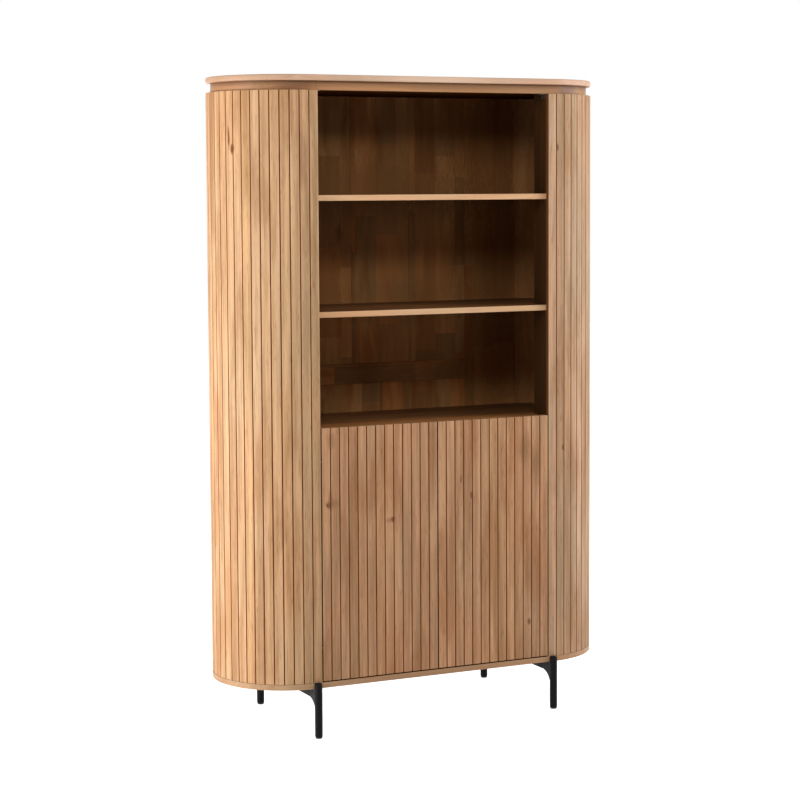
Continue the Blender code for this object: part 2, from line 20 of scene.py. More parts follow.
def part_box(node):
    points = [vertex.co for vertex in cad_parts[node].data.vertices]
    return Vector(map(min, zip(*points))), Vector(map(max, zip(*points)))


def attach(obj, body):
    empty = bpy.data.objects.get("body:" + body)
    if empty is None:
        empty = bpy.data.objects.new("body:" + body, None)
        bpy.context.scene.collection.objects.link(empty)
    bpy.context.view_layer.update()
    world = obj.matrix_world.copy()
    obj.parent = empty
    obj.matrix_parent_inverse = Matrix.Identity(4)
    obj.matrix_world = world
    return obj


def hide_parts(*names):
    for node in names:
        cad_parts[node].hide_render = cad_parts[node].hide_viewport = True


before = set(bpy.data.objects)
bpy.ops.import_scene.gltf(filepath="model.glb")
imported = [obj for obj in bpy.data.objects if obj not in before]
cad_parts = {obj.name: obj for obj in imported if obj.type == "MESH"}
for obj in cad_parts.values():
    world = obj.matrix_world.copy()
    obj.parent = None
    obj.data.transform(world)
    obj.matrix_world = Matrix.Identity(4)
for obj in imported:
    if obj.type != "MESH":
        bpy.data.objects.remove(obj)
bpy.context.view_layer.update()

LOG = logging.getLogger("cabinet")

Colour = tuple[float, float, float]
Point = tuple[float, float, float]
Item = bpy.types.Object
Finish = bpy.types.Material
Socket = bpy.types.NodeSocket
Choice = Callable[[Vector, Vector], bool]


def tinted(colour: Colour, by: Colour) -> Colour:
    """A colour times another one."""
    return tuple(value * share for value, share in zip(colour, by))


class Side(Enum):
    """Left or right end of the cabinet, seen from the front."""

    LEFT = -1
    RIGHT = 1

    @property
    def word(self) -> str:
        """The side as it stands in the CAD nodes' names."""
        return self.name.lower()


class Grain(Enum):
    """The axis that the wood's fibres run along."""

    LEVEL = 0
    UPRIGHT = 2

    def stretch(self, across: float, along: float) -> Point:
        """Gives a pattern's scale on each axis.

        Args:
            across: Scale over the fibres.
            along: Scale along the fibres.

        Returns:
            The scale on X, Y and Z.
        """
        scale = [across, across, across]
        scale[self.value] = along
        return tuple(scale)


@dataclass(frozen=True)
class Layout:
    """Sizes that the looks share with the CAD model."""

    pitch: float = 0.028
    groove: float = 0.003
    slat_thick: float = 0.0075
    end_backing: float = 0.006
    door_backing: float = 0.003
    door_slats: int = 13
    end_slats: int = 25
    end_return: float = 0.018
    radius: float = 0.218
    opening_half: float = 0.364
    leg_height: float = 0.141
    gap: float = 0.0003

    @property
    def end_x(self) -> float:
        """How far out the middle of an end's half circle lies."""
        return self.opening_half + self.end_return

    def end_point(self, side: Side, along: float, inset: float) -> Vector:
        """Gives a plan point on a rounded end.

        Args:
            side: The end.
            along: Way along the outer face from the edge of the opening.
            inset: Way into the wood.

        Returns:
            The point in plan.
        """
        turn = (along - self.end_return) / self.radius
        reach = self.radius - inset
        if turn <= 0:
            return Vector((side.value * (self.opening_half + along), -reach))
        return Vector((side.value * (self.end_x + reach * math.sin(turn)), -reach * math.cos(turn)))


LAYOUT = Layout()


class Bench:
    """Hand tools for modelling. All but edit leave Blender in object mode."""

    @staticmethod
    def clear() -> None:
        if bpy.context.object and bpy.context.object.mode != "OBJECT":
            bpy.ops.object.mode_set(mode="OBJECT")
        bpy.ops.object.select_all(action="DESELECT")

    @staticmethod
    def hold(*items: Item) -> None:
        """Selects objects and makes the first one active.

        Args:
            items: The objects.
        """
        Bench.clear()
        for item in items:
            item.select_set(True)
        bpy.context.view_layer.objects.active = items[0]

    @staticmethod
    def settle(name: str) -> Item:
        """Names the active object and puts its place into its mesh.

        Args:
            name: The new name.

        Returns:
            The object.
        """
        item = bpy.context.object
        item.name = item.data.name = name
        bpy.ops.object.transform_apply(location=True, rotation=True, scale=True)
        return item

    @staticmethod
    def block(name: str, one: Sequence[float], other: Sequence[float]) -> Item:
        """Adds a block between two corners.

        Args:
            name: Its name.
            one: One corner.
            other: The corner across from it.

        Returns:
            The block.
        """
        low, high = (Vector([pick(pair) for pair in zip(one, other)]) for pick in (min, max))
        Bench.clear()
        bpy.ops.mesh.primitive_cube_add(size=1.0, location=(low + high) / 2, scale=high - low)
        return Bench.settle(name)

    @staticmethod
    def rod(name: str, middle: Sequence[float], radius: float, length: float, sides: int = 64,
            turn: Sequence[float] = (0, 0, 0)) -> Item:
        """Adds a cylinder, along Z before it is turned.

        Args:
            name: Its name.
            middle: Its middle.
            radius: Its radius.
            length: Its length.
            sides: How many sides it has.
            turn: Euler angles.

        Returns:
            The cylinder.
        """
        Bench.clear()
        bpy.ops.mesh.primitive_cylinder_add(
            vertices=sides, radius=radius, depth=length, location=middle, rotation=turn)
        return Bench.settle(name)

    @staticmethod
    def edit(item: Item, kind: str, wanted: Choice) -> None:
        """Goes into edit mode with some edges or faces selected.

        Args:
            item: The object.
            kind: EDGE or FACE.
            wanted: Says whether one is selected, from an edge's two ends or a face's middle and normal.
        """
        Bench.hold(item)
        bpy.ops.object.mode_set(mode="EDIT")
        bpy.ops.mesh.select_mode(type=kind)
        bpy.ops.mesh.select_all(action="DESELECT")
        mesh = bmesh.from_edit_mesh(item.data)
        if kind == "EDGE":
            for edge in mesh.edges:
                edge.select_set(wanted(edge.verts[0].co, edge.verts[1].co))
        else:
            for face in mesh.faces:
                face.select_set(wanted(face.calc_center_median(), face.normal))
        bmesh.update_edit_mesh(item.data)

    @staticmethod
    def done(item: Item) -> Item:
        """Comes back to object mode and gives the object back."""
        bpy.ops.object.mode_set(mode="OBJECT")
        return item

    @staticmethod
    def close_up(item: Item, threshold: float = 1e-5) -> Item:
        """Merges points that lie together, and turns all faces outwards.

        Args:
            item: The object.
            threshold: How near such points lie.

        Returns:
            The object.
        """
        Bench.edit(item, "FACE", lambda middle, normal: True)
        bpy.ops.mesh.remove_doubles(threshold=threshold)
        bpy.ops.mesh.normals_make_consistent(inside=False)
        return Bench.done(item)

    @staticmethod
    def slice(item: Item, point: Point, normal: Point, **options: bool) -> Item:
        """Cuts all faces along a plane.

        Args:
            item: The object.
            point: A point on the plane.
            normal: The plane's normal.
            options: The bisect operator's own options.

        Returns:
            The object.
        """
        Bench.edit(item, "FACE", lambda middle, normal: True)
        bpy.ops.mesh.bisect(plane_co=point, plane_no=normal, **options)
        return Bench.done(item)

    @staticmethod
    def ease(item: Item, width: float, segments: int, wanted: Choice) -> Item:
        """Rounds some edges over.

        Args:
            item: The object.
            width: Width of the rounding.
            segments: Faces across it.
            wanted: Says from its two ends whether an edge is rounded.

        Returns:
            The object.
        """
        Bench.edit(item, "EDGE", wanted)
        bpy.ops.mesh.bevel(offset=width, segments=segments, affect="EDGES")
        return Bench.done(item)

    @staticmethod
    def paint(item: Item, finish: Finish, wanted: Choice) -> Item:
        """Gives some faces another finish.

        Args:
            item: The object.
            finish: The other finish.
            wanted: Says from its middle and its normal whether a face gets it.

        Returns:
            The object.
        """
        item.data.materials.append(finish)
        item.active_material_index = len(item.data.materials) - 1
        Bench.edit(item, "FACE", wanted)
        bpy.ops.object.material_slot_assign()
        return Bench.done(item)

    @staticmethod
    def apply(item: Item, kind: str, **settings: Any) -> Item:
        """Adds a modifier and applies it.

        Args:
            item: The object.
            kind: The modifier's type.
            settings: Its settings.

        Returns:
            The object.
        """
        Bench.hold(item)
        step = item.modifiers.new("step", kind)
        for key, value in settings.items():
            setattr(step, key, value)
        bpy.ops.object.modifier_apply(modifier=step.name)
        return item

    @staticmethod
    def cut(item: Item, *cutters: Item, operation: str = "DIFFERENCE") -> Item:
        """Takes cutters out of an object, or joins them to it, and removes them.

        Args:
            item: The object.
            cutters: What is taken out or joined.
            operation: Blender's name of the operation.

        Returns:
            The object.
        """
        for cutter in cutters:
            Bench.apply(item, "BOOLEAN", operation=operation, solver="EXACT", object=cutter)
            bpy.data.objects.remove(cutter)
        return item

    @staticmethod
    def smooth(item: Item, angle: float = 35) -> Item:
        """Shades an object smooth, apart from its sharp edges.

        Args:
            item: The object.
            angle: The angle in degrees above which an edge stays sharp.

        Returns:
            The object.
        """
        Bench.hold(item)
        bpy.ops.object.shade_smooth_by_angle(angle=math.radians(angle))
        return item

    @staticmethod
    def copy(item: Item, name: str, place: Matrix) -> Item:
        """Copies an object with a mesh of its own, and moves that mesh.

        Args:
            item: What is copied.
            name: The copy's name.
            place: Where the copy goes.

        Returns:
            The copy.
        """
        twin = bpy.data.objects.new(name, item.data.copy())
        twin.data.transform(place)
        bpy.context.scene.collection.objects.link(twin)
        return twin

    @staticmethod
    def merge(name: str, items: Sequence[Item]) -> Item:
        """Joins objects to one.

        Args:
            name: Its name.
            items: The objects.

        Returns:
            The one object.
        """
        Bench.hold(*items)
        bpy.ops.object.join()
        item = bpy.context.object
        item.name = item.data.name = name
        return item


class NodeSheet:
    """The nodes of a material or of the world, with short ways to add and join them."""

    def __init__(self, owner: Finish | bpy.types.World) -> None:
        """Takes the nodes of a new material or world.

        Args:
            owner: The material or world.
        """
        owner.use_nodes = True
        self.owner = owner
        self.tree = owner.node_tree
        self.shader = self.tree.nodes.get("Principled BSDF")

    def feed(self, node: bpy.types.Node, socket: Any, value: Any) -> None:
        """Sets an input, or links it where the value is another node's output.

        Args:
            node: The node.
            socket: The input's name or number.
            value: A number, a colour, or an output.
        """
        if isinstance(value, Socket):
            self.tree.links.new(value, node.inputs[socket])
        else:
            node.inputs[socket].default_value = value

    def add(self, kind: str, inputs: dict[Any, Any], **settings: Any) -> bpy.types.Node:
        """Adds a node.

        Args:
            kind: Blender's name of the node, without ShaderNode.
            inputs: Value or output for each input.
            settings: The node's own settings.

        Returns:
            The node.
        """
        node = self.tree.nodes.new("ShaderNode" + kind)
        for key, value in settings.items():
            setattr(node, key, value)
        for socket, value in inputs.items():
            self.feed(node, socket, value)
        return node

    def place(self) -> Socket:
        """The point on the piece, in metres."""
        return self.add("TexCoord", {}).outputs["Object"]

    def attribute(self, name: str, output: str) -> Socket:
        """One of the mesh's own attributes."""
        return self.add("Attribute", {}, attribute_name=name).outputs[output]

    def mapped(self, vector: Any, scale: Point, shift: Point = (0, 0, 0)) -> Socket:
        """A vector with its scale and origin changed."""
        return self.add("Mapping", {"Vector": vector, "Scale": scale, "Location": shift}).outputs[0]

    def noise(self, vector: Any, detail: float = 3.0, roughness: float = 0.5, distortion: float = 0.0,
              scale: float = 1.0) -> Socket:
        """A soft random pattern from 0 to 1."""
        rest = {"Detail": detail, "Roughness": roughness, "Distortion": distortion}
        return self.add("TexNoise", {"Vector": vector, "Scale": scale, **rest}).outputs[0]

    def math(self, operation: str, *values: Any) -> Socket:
        """A sum on numbers."""
        return self.add("Math", dict(enumerate(values)), operation=operation).outputs[0]

    def vector_math(self, operation: str, *values: Any, output: int = 0) -> Socket:
        """A sum on vectors."""
        return self.add("VectorMath", dict(enumerate(values)), operation=operation).outputs[output]

    def span(self, value: Any, low: float, high: float, to_low: float, to_high: float) -> Socket:
        """A number moved from one range to another, with soft ends."""
        inputs = {"Value": value, "From Min": low, "From Max": high, "To Min": to_low, "To Max": to_high}
        return self.add("MapRange", inputs, interpolation_type="SMOOTHSTEP").outputs[0]

    def mix(self, share: Any, first: Any, second: Any, blend: str = "MIX") -> Socket:
        """Two colours mixed."""
        inputs = {0: share, 6: self.solid(first), 7: self.solid(second)}
        return self.add("Mix", inputs, data_type="RGBA", blend_type=blend).outputs[2]

    @staticmethod
    def solid(colour: Any) -> Any:
        """A colour with its alpha, or the output that gives it."""
        return colour if isinstance(colour, Socket) else (*colour, 1.0)

    def finish(self, **inputs: Any) -> Finish:
        """Sets the shader's inputs.

        Args:
            inputs: Value or output for each input, with _ for a space.

        Returns:
            The material.
        """
        for socket, value in inputs.items():
            self.feed(self.shader, socket.replace("_", " "), value)
        return self.owner


@dataclass(frozen=True)
class Knot:
    """A knot, a stain, or a patch of painted light or painted shade, drawn out along the grain. Its tone is a
    share of the wood's dark colour.
    """

    place: Point
    across: float
    along: float
    depth: float
    tone: Colour = (0.36, 0.24, 0.17)


@dataclass(frozen=True)
class Wood:
    """Lacquered wood: broad figure, drifts of hue, fine streaks, fibres, soft patches and knots, with painted
    light and painted shade where given.
    """

    name: str
    light: Colour
    dark: Colour
    grain: Grain
    seed: int
    slatted: bool = False
    roughness: float = 0.5
    gloss: float = 0.4
    streaks: float = 0.35
    patches: float = 0.35
    spread: float = 1.0
    drift: float = 1.0
    staves: tuple[float, float] | None = None
    seams: tuple[float, ...] = ()
    # heights of a painted shade band, darkest at the top
    grime: tuple[float, float] | None = None
    face_depth: float = 0.0
    knots: tuple[Knot, ...] = ()

    REDDER = (1.03, 0.965, 0.93)
    GREENER = (0.985, 1.01, 1.01)
    DEEP = (0.62, 0.62, 0.62)
    PATCH = (0.80, 0.68, 0.58)
    # tone of the painted shade band
    DIRT = (0.25, 0.20, 0.12)
    REAR = (0.86, 1.02, 1.42)
    BANDS = ((0.89, 0.86, 0.83), (1.07, 1.10, 1.12))
    FLECK = (0.72, 0.63, 0.54)
    # tone of the painted highlight along the slats' edges
    WORN = (1.17, 1.20, 1.23)
    PALER = 1.15
    FACE_FADE = 0.006
    SMALL_KNOT = 0.015

    def material(self) -> Finish:
        """Makes the material.

        Returns:
            The material.
        """
        sheet = NodeSheet(bpy.data.materials.new(self.name))
        draw = random.Random(self.seed)
        shift = tuple(draw.uniform(-9, 9) for _ in range(3))
        place = sheet.place()
        spot = place
        if self.slatted:
            spot = sheet.vector_math("ADD", place, sheet.attribute("grain_shift", "Vector"))

        def pattern(point: Socket, across: float, along: float, *settings: float) -> Socket:
            """A random pattern that is drawn out along the grain."""
            return sheet.noise(sheet.mapped(point, self.grain.stretch(across, along), shift), *settings)

        figure = pattern(spot, 42 / self.spread, 2.6, 3, 0.5, 0.5)
        streak = pattern(spot, 230 / self.spread, 5.5, 3, 0.6, 0.15)
        fibre = pattern(spot, 1400, 45, 2, 0.6)
        patch = pattern(place, 19, 2.9, 3, 0.55, 0.35)
        drift = pattern(place, 11, 2.2, 2, 0.5, 0.2)
        colour = sheet.mix(sheet.span(figure, 0.28, 0.72, 0, 1), self.dark, self.light)
        deep = tinted(self.dark, self.DEEP)
        colour = sheet.mix(sheet.span(streak, 0.56, 0.78, 0, self.streaks), colour, deep)
        brown = tinted(self.dark, self.PATCH)
        colour = sheet.mix(sheet.span(patch, 0.44, 0.66, 0, self.patches), colour, brown)
        pale = tuple(min(1.0, value * self.PALER) for value in self.light)
        colour = sheet.mix(sheet.span(fibre, 0.45, 0.8, 0, 0.18), colour, pale)
        hue = sheet.mix(sheet.span(drift, 0.35, 0.65, 0, 1), self.REDDER, self.GREENER)
        colour = sheet.mix(self.drift, colour, hue, "MULTIPLY")
        if self.slatted:
            band = sheet.span(pattern(spot, 105, 1.9, 2), 0.3, 0.7, 0, 1)
            colour = sheet.mix(1.0, colour, sheet.mix(band, *self.BANDS), "MULTIPLY")
            fleck = sheet.span(pattern(spot, 360, 22, 1), 0.60, 0.72, 0, 0.75)
            colour = sheet.mix(fleck, colour, self.FLECK, "MULTIPLY")
            colour = sheet.mix(1.0, colour, sheet.attribute("tint", "Color"), "MULTIPLY")
            # painted highlight along both edges of each slat's face, broken by the streaks
            uneven_highlight = sheet.span(streak, 0.3, 0.7, 0.75, 0.35)
            worn = sheet.math("MULTIPLY", sheet.attribute("wear", "Fac"), uneven_highlight)
            colour = sheet.mix(worn, colour, self.WORN, "MULTIPLY")
        parts = sheet.add("SeparateXYZ", {"Vector": place}).outputs
        front = 1.0
        if self.face_depth:
            front = sheet.span(parts[1], self.face_depth, self.face_depth + self.FACE_FADE, 1, 0)
            colour = sheet.mix(sheet.math("SUBTRACT", 1.0, front), colour, self.REAR, "MULTIPLY")
        if self.staves:
            share = sheet.math("MULTIPLY_ADD", front, 0.55, 0.45)
            colour = sheet.mix(share, colour, self.stave_tint(sheet, place, shift), "MULTIPLY")
        for seam in self.seams:
            beside = sheet.math("ABSOLUTE", sheet.math("SUBTRACT", parts[0], seam))
            colour = sheet.mix(sheet.span(beside, 0.0004, 0.0016, 0.75, 0), colour, deep)
        # knots and stains, and patches of painted light and painted shade
        wobble = sheet.noise(sheet.mapped(place, self.grain.stretch(400, 60)), 2) if self.knots else None
        for knot in self.knots:
            share = sheet.math("MULTIPLY", self.knot_share(sheet, place, knot, wobble), front)
            colour = sheet.mix(share, colour, tinted(self.dark, knot.tone))
        # painted shade, darker towards the top of the board
        if self.grime:
            painted_shade = sheet.span(parts[2], *self.grime, 0, 0.85)
            colour = sheet.mix(painted_shade, colour, tinted(self.dark, self.DIRT))
        height = sheet.math("ADD", fibre, sheet.math("MULTIPLY", streak, 1.4))
        bump = sheet.add("Bump", {"Strength": 0.35, "Distance": 0.0002, "Height": height})
        rough = sheet.span(patch, 0.3, 0.7, self.roughness - 0.05, self.roughness + 0.07)
        return sheet.finish(
            Base_Color=colour, Roughness=rough, Normal=bump.outputs[0], Specular_IOR_Level=self.gloss)

    def stave_tint(self, sheet: NodeSheet, place: Any, shift: Point) -> Socket:
        """Gives each of the short staves that the board is glued up from its own tint.

        Args:
            sheet: The material's nodes.
            place: The point.
            shift: The board's own shift of its patterns.

        Returns:
            The tint.
        """
        width, length = self.staves
        warp = sheet.noise(place, 1, 0.5, scale=60)
        bent = sheet.vector_math("ADD", place, sheet.mapped(warp, (0.003, 0.003, 0.006)))
        parts = sheet.add("SeparateXYZ", {"Vector": bent}).outputs
        across = parts[2] if self.grain is Grain.LEVEL else parts[0]
        along = parts[0] if self.grain is Grain.LEVEL else parts[2]
        row = sheet.math("FLOOR", sheet.math("DIVIDE", sheet.math("ADD", across, shift[0]), width))
        start = sheet.add("TexWhiteNoise", {"W": row}, noise_dimensions="1D").outputs["Value"]
        step = sheet.math("ADD", sheet.math("DIVIDE", along, length), sheet.math("MULTIPLY", start, 7.0))
        cell = sheet.add("CombineXYZ", {0: row, 1: sheet.math("FLOOR", step), 2: shift[1]}).outputs[0]
        draw = sheet.add("TexWhiteNoise", {"Vector": cell}, noise_dimensions="3D").outputs
        pale = sheet.mix(draw["Value"], (0.76, 0.76, 0.76), (1.26, 1.26, 1.26))
        warm = sheet.add("SeparateColor", {0: draw["Color"]}).outputs[1]
        return sheet.mix(1.0, pale, sheet.mix(warm, (1.07, 0.96, 0.86), (0.95, 1.02, 1.08)), "MULTIPLY")

    def knot_share(self, sheet: NodeSheet, place: Any, knot: Knot, wobble: Any) -> Socket:
        """Works out how much of a knot's or stain's colour, or of painted light or shade, shows at a point.

        Args:
            sheet: The material's nodes.
            place: The point.
            knot: The knot, stain or patch of painted light or shade.
            wobble: A fine pattern that makes the rim uneven.

        Returns:
            The share, from 0 to 1.
        """
        offset = sheet.vector_math("SUBTRACT", place, knot.place)
        scale = self.grain.stretch(1 / knot.across, 1 / knot.along)
        distance = sheet.vector_math("LENGTH", sheet.vector_math("MULTIPLY", offset, scale), output=1)
        distance = sheet.math("ADD", distance, sheet.math("MULTIPLY", wobble, 0.6))
        core, rim = (0.60, 1.05) if knot.across < self.SMALL_KNOT else (0.45, 1.30)
        return sheet.span(distance, core, rim, knot.depth, 0)


@dataclass(frozen=True)
class Coating:
    """A plain finish with faint patches and a fine texture, such as powder coat, plating or moulded plastic.

    The texture is a pattern's detail and its scale on each axis, the cloud a pattern's detail and scale. The
    fade is the cloud's span and its share where full, the relief the bump's strength and depth.
    """

    name: str
    colour: Colour
    patch: float
    texture: tuple[float, Point]
    cloud: tuple[float, float]
    fade: tuple[float, float, float]
    shine: tuple[float, float]
    relief: tuple[float, float]
    metal: float = 0.0
    gloss: float = 0.5
    cloudy_shine: bool = False

    def material(self) -> Finish:
        """Makes the material.

        Returns:
            The material.
        """
        sheet = NodeSheet(bpy.data.materials.new(self.name))
        place = sheet.place()
        fine = sheet.noise(sheet.mapped(place, self.texture[1]), self.texture[0], 0.6)
        cloud = sheet.noise(place, self.cloud[0], 0.5, scale=self.cloud[1])
        low, high, most = self.fade
        patch = tinted(self.colour, (self.patch,) * 3)
        colour = sheet.mix(sheet.span(cloud, low, high, 0, most), self.colour, patch)
        rough = sheet.span(cloud if self.cloudy_shine else fine, 0.3, 0.7, *self.shine)
        bump = sheet.add("Bump", {"Strength": self.relief[0], "Distance": self.relief[1], "Height": fine})
        return sheet.finish(Base_Color=colour, Metallic=self.metal, Roughness=rough, Normal=bump.outputs[0],
                            Specular_IOR_Level=self.gloss)


POWDER_COAT = Coating(
    "black_powder_coat", (0.0075, 0.0075, 0.008), 1.5, (2, (1800, 1800, 1800)), (3, 45), (0.4, 0.75, 0.5),
    (0.46, 0.56), (0.3, 0.00015), gloss=0.08, cloudy_shine=True)
NICKEL = Coating(
    "satin_nickel", (0.58, 0.57, 0.55), 0.8, (2, (90, 90, 2600)), (3, 120), (0.35, 0.7, 0.6), (0.24, 0.40),
    (0.15, 0.0001), metal=1.0)
ZINC = replace(NICKEL, name="dull_zinc", colour=(0.17, 0.15, 0.13), shine=(0.44, 0.60))
GREY_PLASTIC = Coating(
    "moulded_plastic", (0.05, 0.05, 0.052), 1.3, (3, (2400, 2400, 2400)), (2, 90), (0.35, 0.75, 0.6),
    (0.45, 0.58), (0.2, 0.0001))
BLACK_PLASTIC = replace(GREY_PLASTIC, name="black_plastic", colour=(0.012, 0.012, 0.012))
SMUDGE: Colour = (0.62, 0.52, 0.44)
RUST: Colour = (1.0, 0.74, 0.50)
# grey tone of painted shade
SHADE_GREY: Colour = (0.80, 0.83, 0.92)
SLAT_KNOTS_AND_SHADE = (
    Knot((-0.5749, -0.1015, 1.6582), 0.012, 0.026, 1.0),
    Knot((-0.5808, -0.0895, 1.6894), 0.006, 0.050, 0.95),
    Knot((-0.588, -0.070, 0.40), 0.035, 0.24, 0.55, RUST),
    # painted shade: the left end darker and greyer beside the opening, at the top and lower down
    Knot((-0.410, -0.2160, 1.64), 0.020, 0.12, 0.5, SHADE_GREY),
    Knot((-0.405, -0.2168, 1.18), 0.016, 0.26, 0.5, SHADE_GREY),
    Knot((-0.3431, -0.218, 0.6594), 0.014, 0.014, 1.0),
    Knot((-0.330, -0.218, 0.664), 0.034, 0.020, 0.55, SMUDGE),
    Knot((-0.336, -0.218, 0.672), 0.014, 0.055, 0.5, SMUDGE),
    Knot((-0.1427, -0.218, 0.6063), 0.011, 0.014, 1.0),
    Knot((-0.153, -0.218, 0.604), 0.024, 0.012, 0.55, SMUDGE),
    Knot((0.0747, -0.218, 0.7074), 0.0045, 0.022, 0.75),
    Knot((0.1092, -0.218, 0.6588), 0.008, 0.018, 0.8),
    Knot((0.2992, -0.218, 0.2692), 0.009, 0.018, 0.8),
    Knot((0.2843, -0.218, 0.7846), 0.030, 0.070, 0.7, SMUDGE),
    Knot((0.3212, -0.218, 0.7382), 0.026, 0.080, 0.7, SMUDGE),
    Knot((-0.3328, -0.218, 0.8409), 0.018, 0.035, 0.5, SMUDGE),
    Knot((0.3956, -0.2176, 1.6632), 0.008, 0.018, 0.8),
    Knot((0.4157, -0.2154, 0.7795), 0.008, 0.016, 0.8))
BACK_KNOTS_AND_SHADE = (
    Knot((-0.262, 0.166, 1.4313), 0.015, 0.018, 0.9),
    Knot((-0.1355, 0.166, 1.413), 0.016, 0.045, 0.7),
    # painted shade: darker bands across the back around the two upper shelves
    Knot((-0.05, 0.166, 1.545), 0.80, 0.150, 0.75, (0.42, 0.39, 0.36)),
    Knot((-0.05, 0.166, 1.215), 0.80, 0.090, 0.50, (0.42, 0.39, 0.36)),
    # painted shade: darker down the back's right-hand part
    Knot((0.38, 0.166, 1.700), 0.26, 0.36, 0.72, (0.46, 0.40, 0.32)),
    Knot((0.40, 0.166, 1.350), 0.20, 0.40, 0.72, (0.46, 0.40, 0.32)),
    Knot((0.41, 0.166, 1.040), 0.17, 0.32, 0.72, (0.46, 0.40, 0.32)))
# painted shade on the inner faces of both rounded ends
SHELL_SHADE = tuple(Knot((way * 0.38, 0.12, 1.40), 0.30, 1.6, 0.85, (0.50, 0.45, 0.38)) for way in (-1, 1))
TOP_STAIN_AND_HIGHLIGHT = (
    Knot((-0.52, -0.05, 1.853), 0.30, 0.24, 0.9, (0.75, 0.70, 0.62)),
    # painted highlight along the middle of the top's front rim
    Knot((0.0, -0.218, 1.853), 0.09, 0.30, 0.9, (1.32, 1.46, 1.58)))
FRIEZE_LIGHT_SHADE_AND_PATCH = (
    # painted light on the lower part of the frieze's left end
    Knot((-0.58, 0.0, 1.832), 0.30, 0.10, 0.9, (1.30, 1.26, 1.22)),
    # painted shade under the top's overhang on the left
    Knot((-0.44, -0.20, 1.834), 0.050, 0.10, 0.75, (0.55, 0.45, 0.36)),
    # a darker, purple-brown patch at the right end
    Knot((0.44, -0.20, 1.832), 0.080, 0.050, 0.75, (0.55, 0.52, 0.66)))
# painted shade on the base's front under the doors
BASE_SHADE = (Knot((0.0, -0.218, 0.150), 0.08, 0.42, 0.7, (0.84, 0.76, 0.70)),)
FRIEZE_SEAMS = (-0.392, -0.364)
# heights of the painted shade that the top's overhang casts on the frieze
FRIEZE_SHADE_BAND = (1.820, 1.8475)


def dress(item: Item, material: Finish) -> Item:
    """Gives an object one material.

    Args:
        item: The object.
        material: Its material.

    Returns:
        The object.
    """
    item.data.materials.clear()
    item.data.materials.append(material)
    return item


def dress_nodes(names: Iterable[str], material: Finish) -> None:
    """Gives CAD nodes one material.

    Args:
        names: The nodes' names.
        material: Their material.
    """
    for name in names:
        dress(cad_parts[name], material)


# how far the cupboard's floor stands above the base plate's rim
FLOOR_RISE = 0.002
# how far the painted light along the divider's front reaches back before it has faded
DIVIDER_LIT_STRIP = 0.14
# how far back the knots and painted shade of the room side reach, so that the rear stays plain
BACK_FACE_DEPTH = 0.168
# what the slats' tint is multiplied by on the left end, the right end and the doors: painted light colour, paler
# where strong light falls and cooler on the right end
LEFT_LIGHT_CAST: Colour = (1.12, 1.18, 1.30)
RIGHT_LIGHT_CAST: Colour = (1.05, 1.17, 1.44)
DOOR_LIGHT_CAST: Colour = (1.03, 0.99, 1.08)
# lightens the front of the divider's top as painted light
LIT_STRIP_TONE: Colour = (3.3, 3.1, 2.9)
# painted shade in the grooves: dark colours for the backing between the slats and for the slats' sides
GROOVE_SHADE: Colour = (0.20, 0.066, 0.018)
GROOVE_SIDE_SHADE: Colour = (0.47, 0.170, 0.047)
SLAT_WOOD = Wood(
    "slat_wood", (0.71, 0.409, 0.204), (0.52, 0.298, 0.142), Grain.UPRIGHT, 3, slatted=True, roughness=0.58,
    gloss=0.25, streaks=0.75, patches=0.7, knots=SLAT_KNOTS_AND_SHADE)
BACKING_SHADE_WOOD = Wood("backing_wood", GROOVE_SHADE, GROOVE_SHADE, Grain.UPRIGHT, 4, gloss=0.0)
SIDE_SHADE_WOOD = Wood("groove_side_wood", GROOVE_SIDE_SHADE, GROOVE_SIDE_SHADE, Grain.UPRIGHT, 9, gloss=0.0)
# near black, painted shade for gaps and faces under things: the doors' gaps, the base's top under the doors, the
# frieze's underside and the back's tongues
PAINTED_SHADE_WOOD = Wood("hidden_wood", (0.090, 0.028, 0.006), (0.060, 0.018, 0.004), Grain.UPRIGHT, 10, gloss=0.0)
# painted shade on the end slat's side that faces the opening
JAMB_SHADE_WOOD = Wood("jamb_wood", (0.15, 0.065, 0.028), (0.11, 0.045, 0.019), Grain.UPRIGHT, 12, gloss=0.1)
TOP_WOOD = Wood("top_wood", (0.84, 0.545, 0.375), (0.70, 0.440, 0.290), Grain.LEVEL, 5, knots=TOP_STAIN_AND_HIGHLIGHT)
FRIEZE_WOOD = Wood(
    "frieze_wood", (0.58, 0.313, 0.145), (0.43, 0.215, 0.093), Grain.LEVEL, 7, seams=FRIEZE_SEAMS,
    grime=FRIEZE_SHADE_BAND, knots=FRIEZE_LIGHT_SHADE_AND_PATCH)
BASE_WOOD = Wood("base_wood", (0.61, 0.37, 0.20), (0.49, 0.285, 0.15), Grain.LEVEL, 6, knots=BASE_SHADE)
LIPPING_WOOD = Wood("lipping_wood", (0.91, 0.553, 0.310), (0.80, 0.468, 0.247), Grain.LEVEL, 8)
# dark partly as a darker finish and partly as painted shade on the shelves' tops
SHELF_WOOD = Wood("shelf_wood", (0.20, 0.090, 0.032), (0.13, 0.055, 0.019), Grain.LEVEL, 540, gloss=0.12)
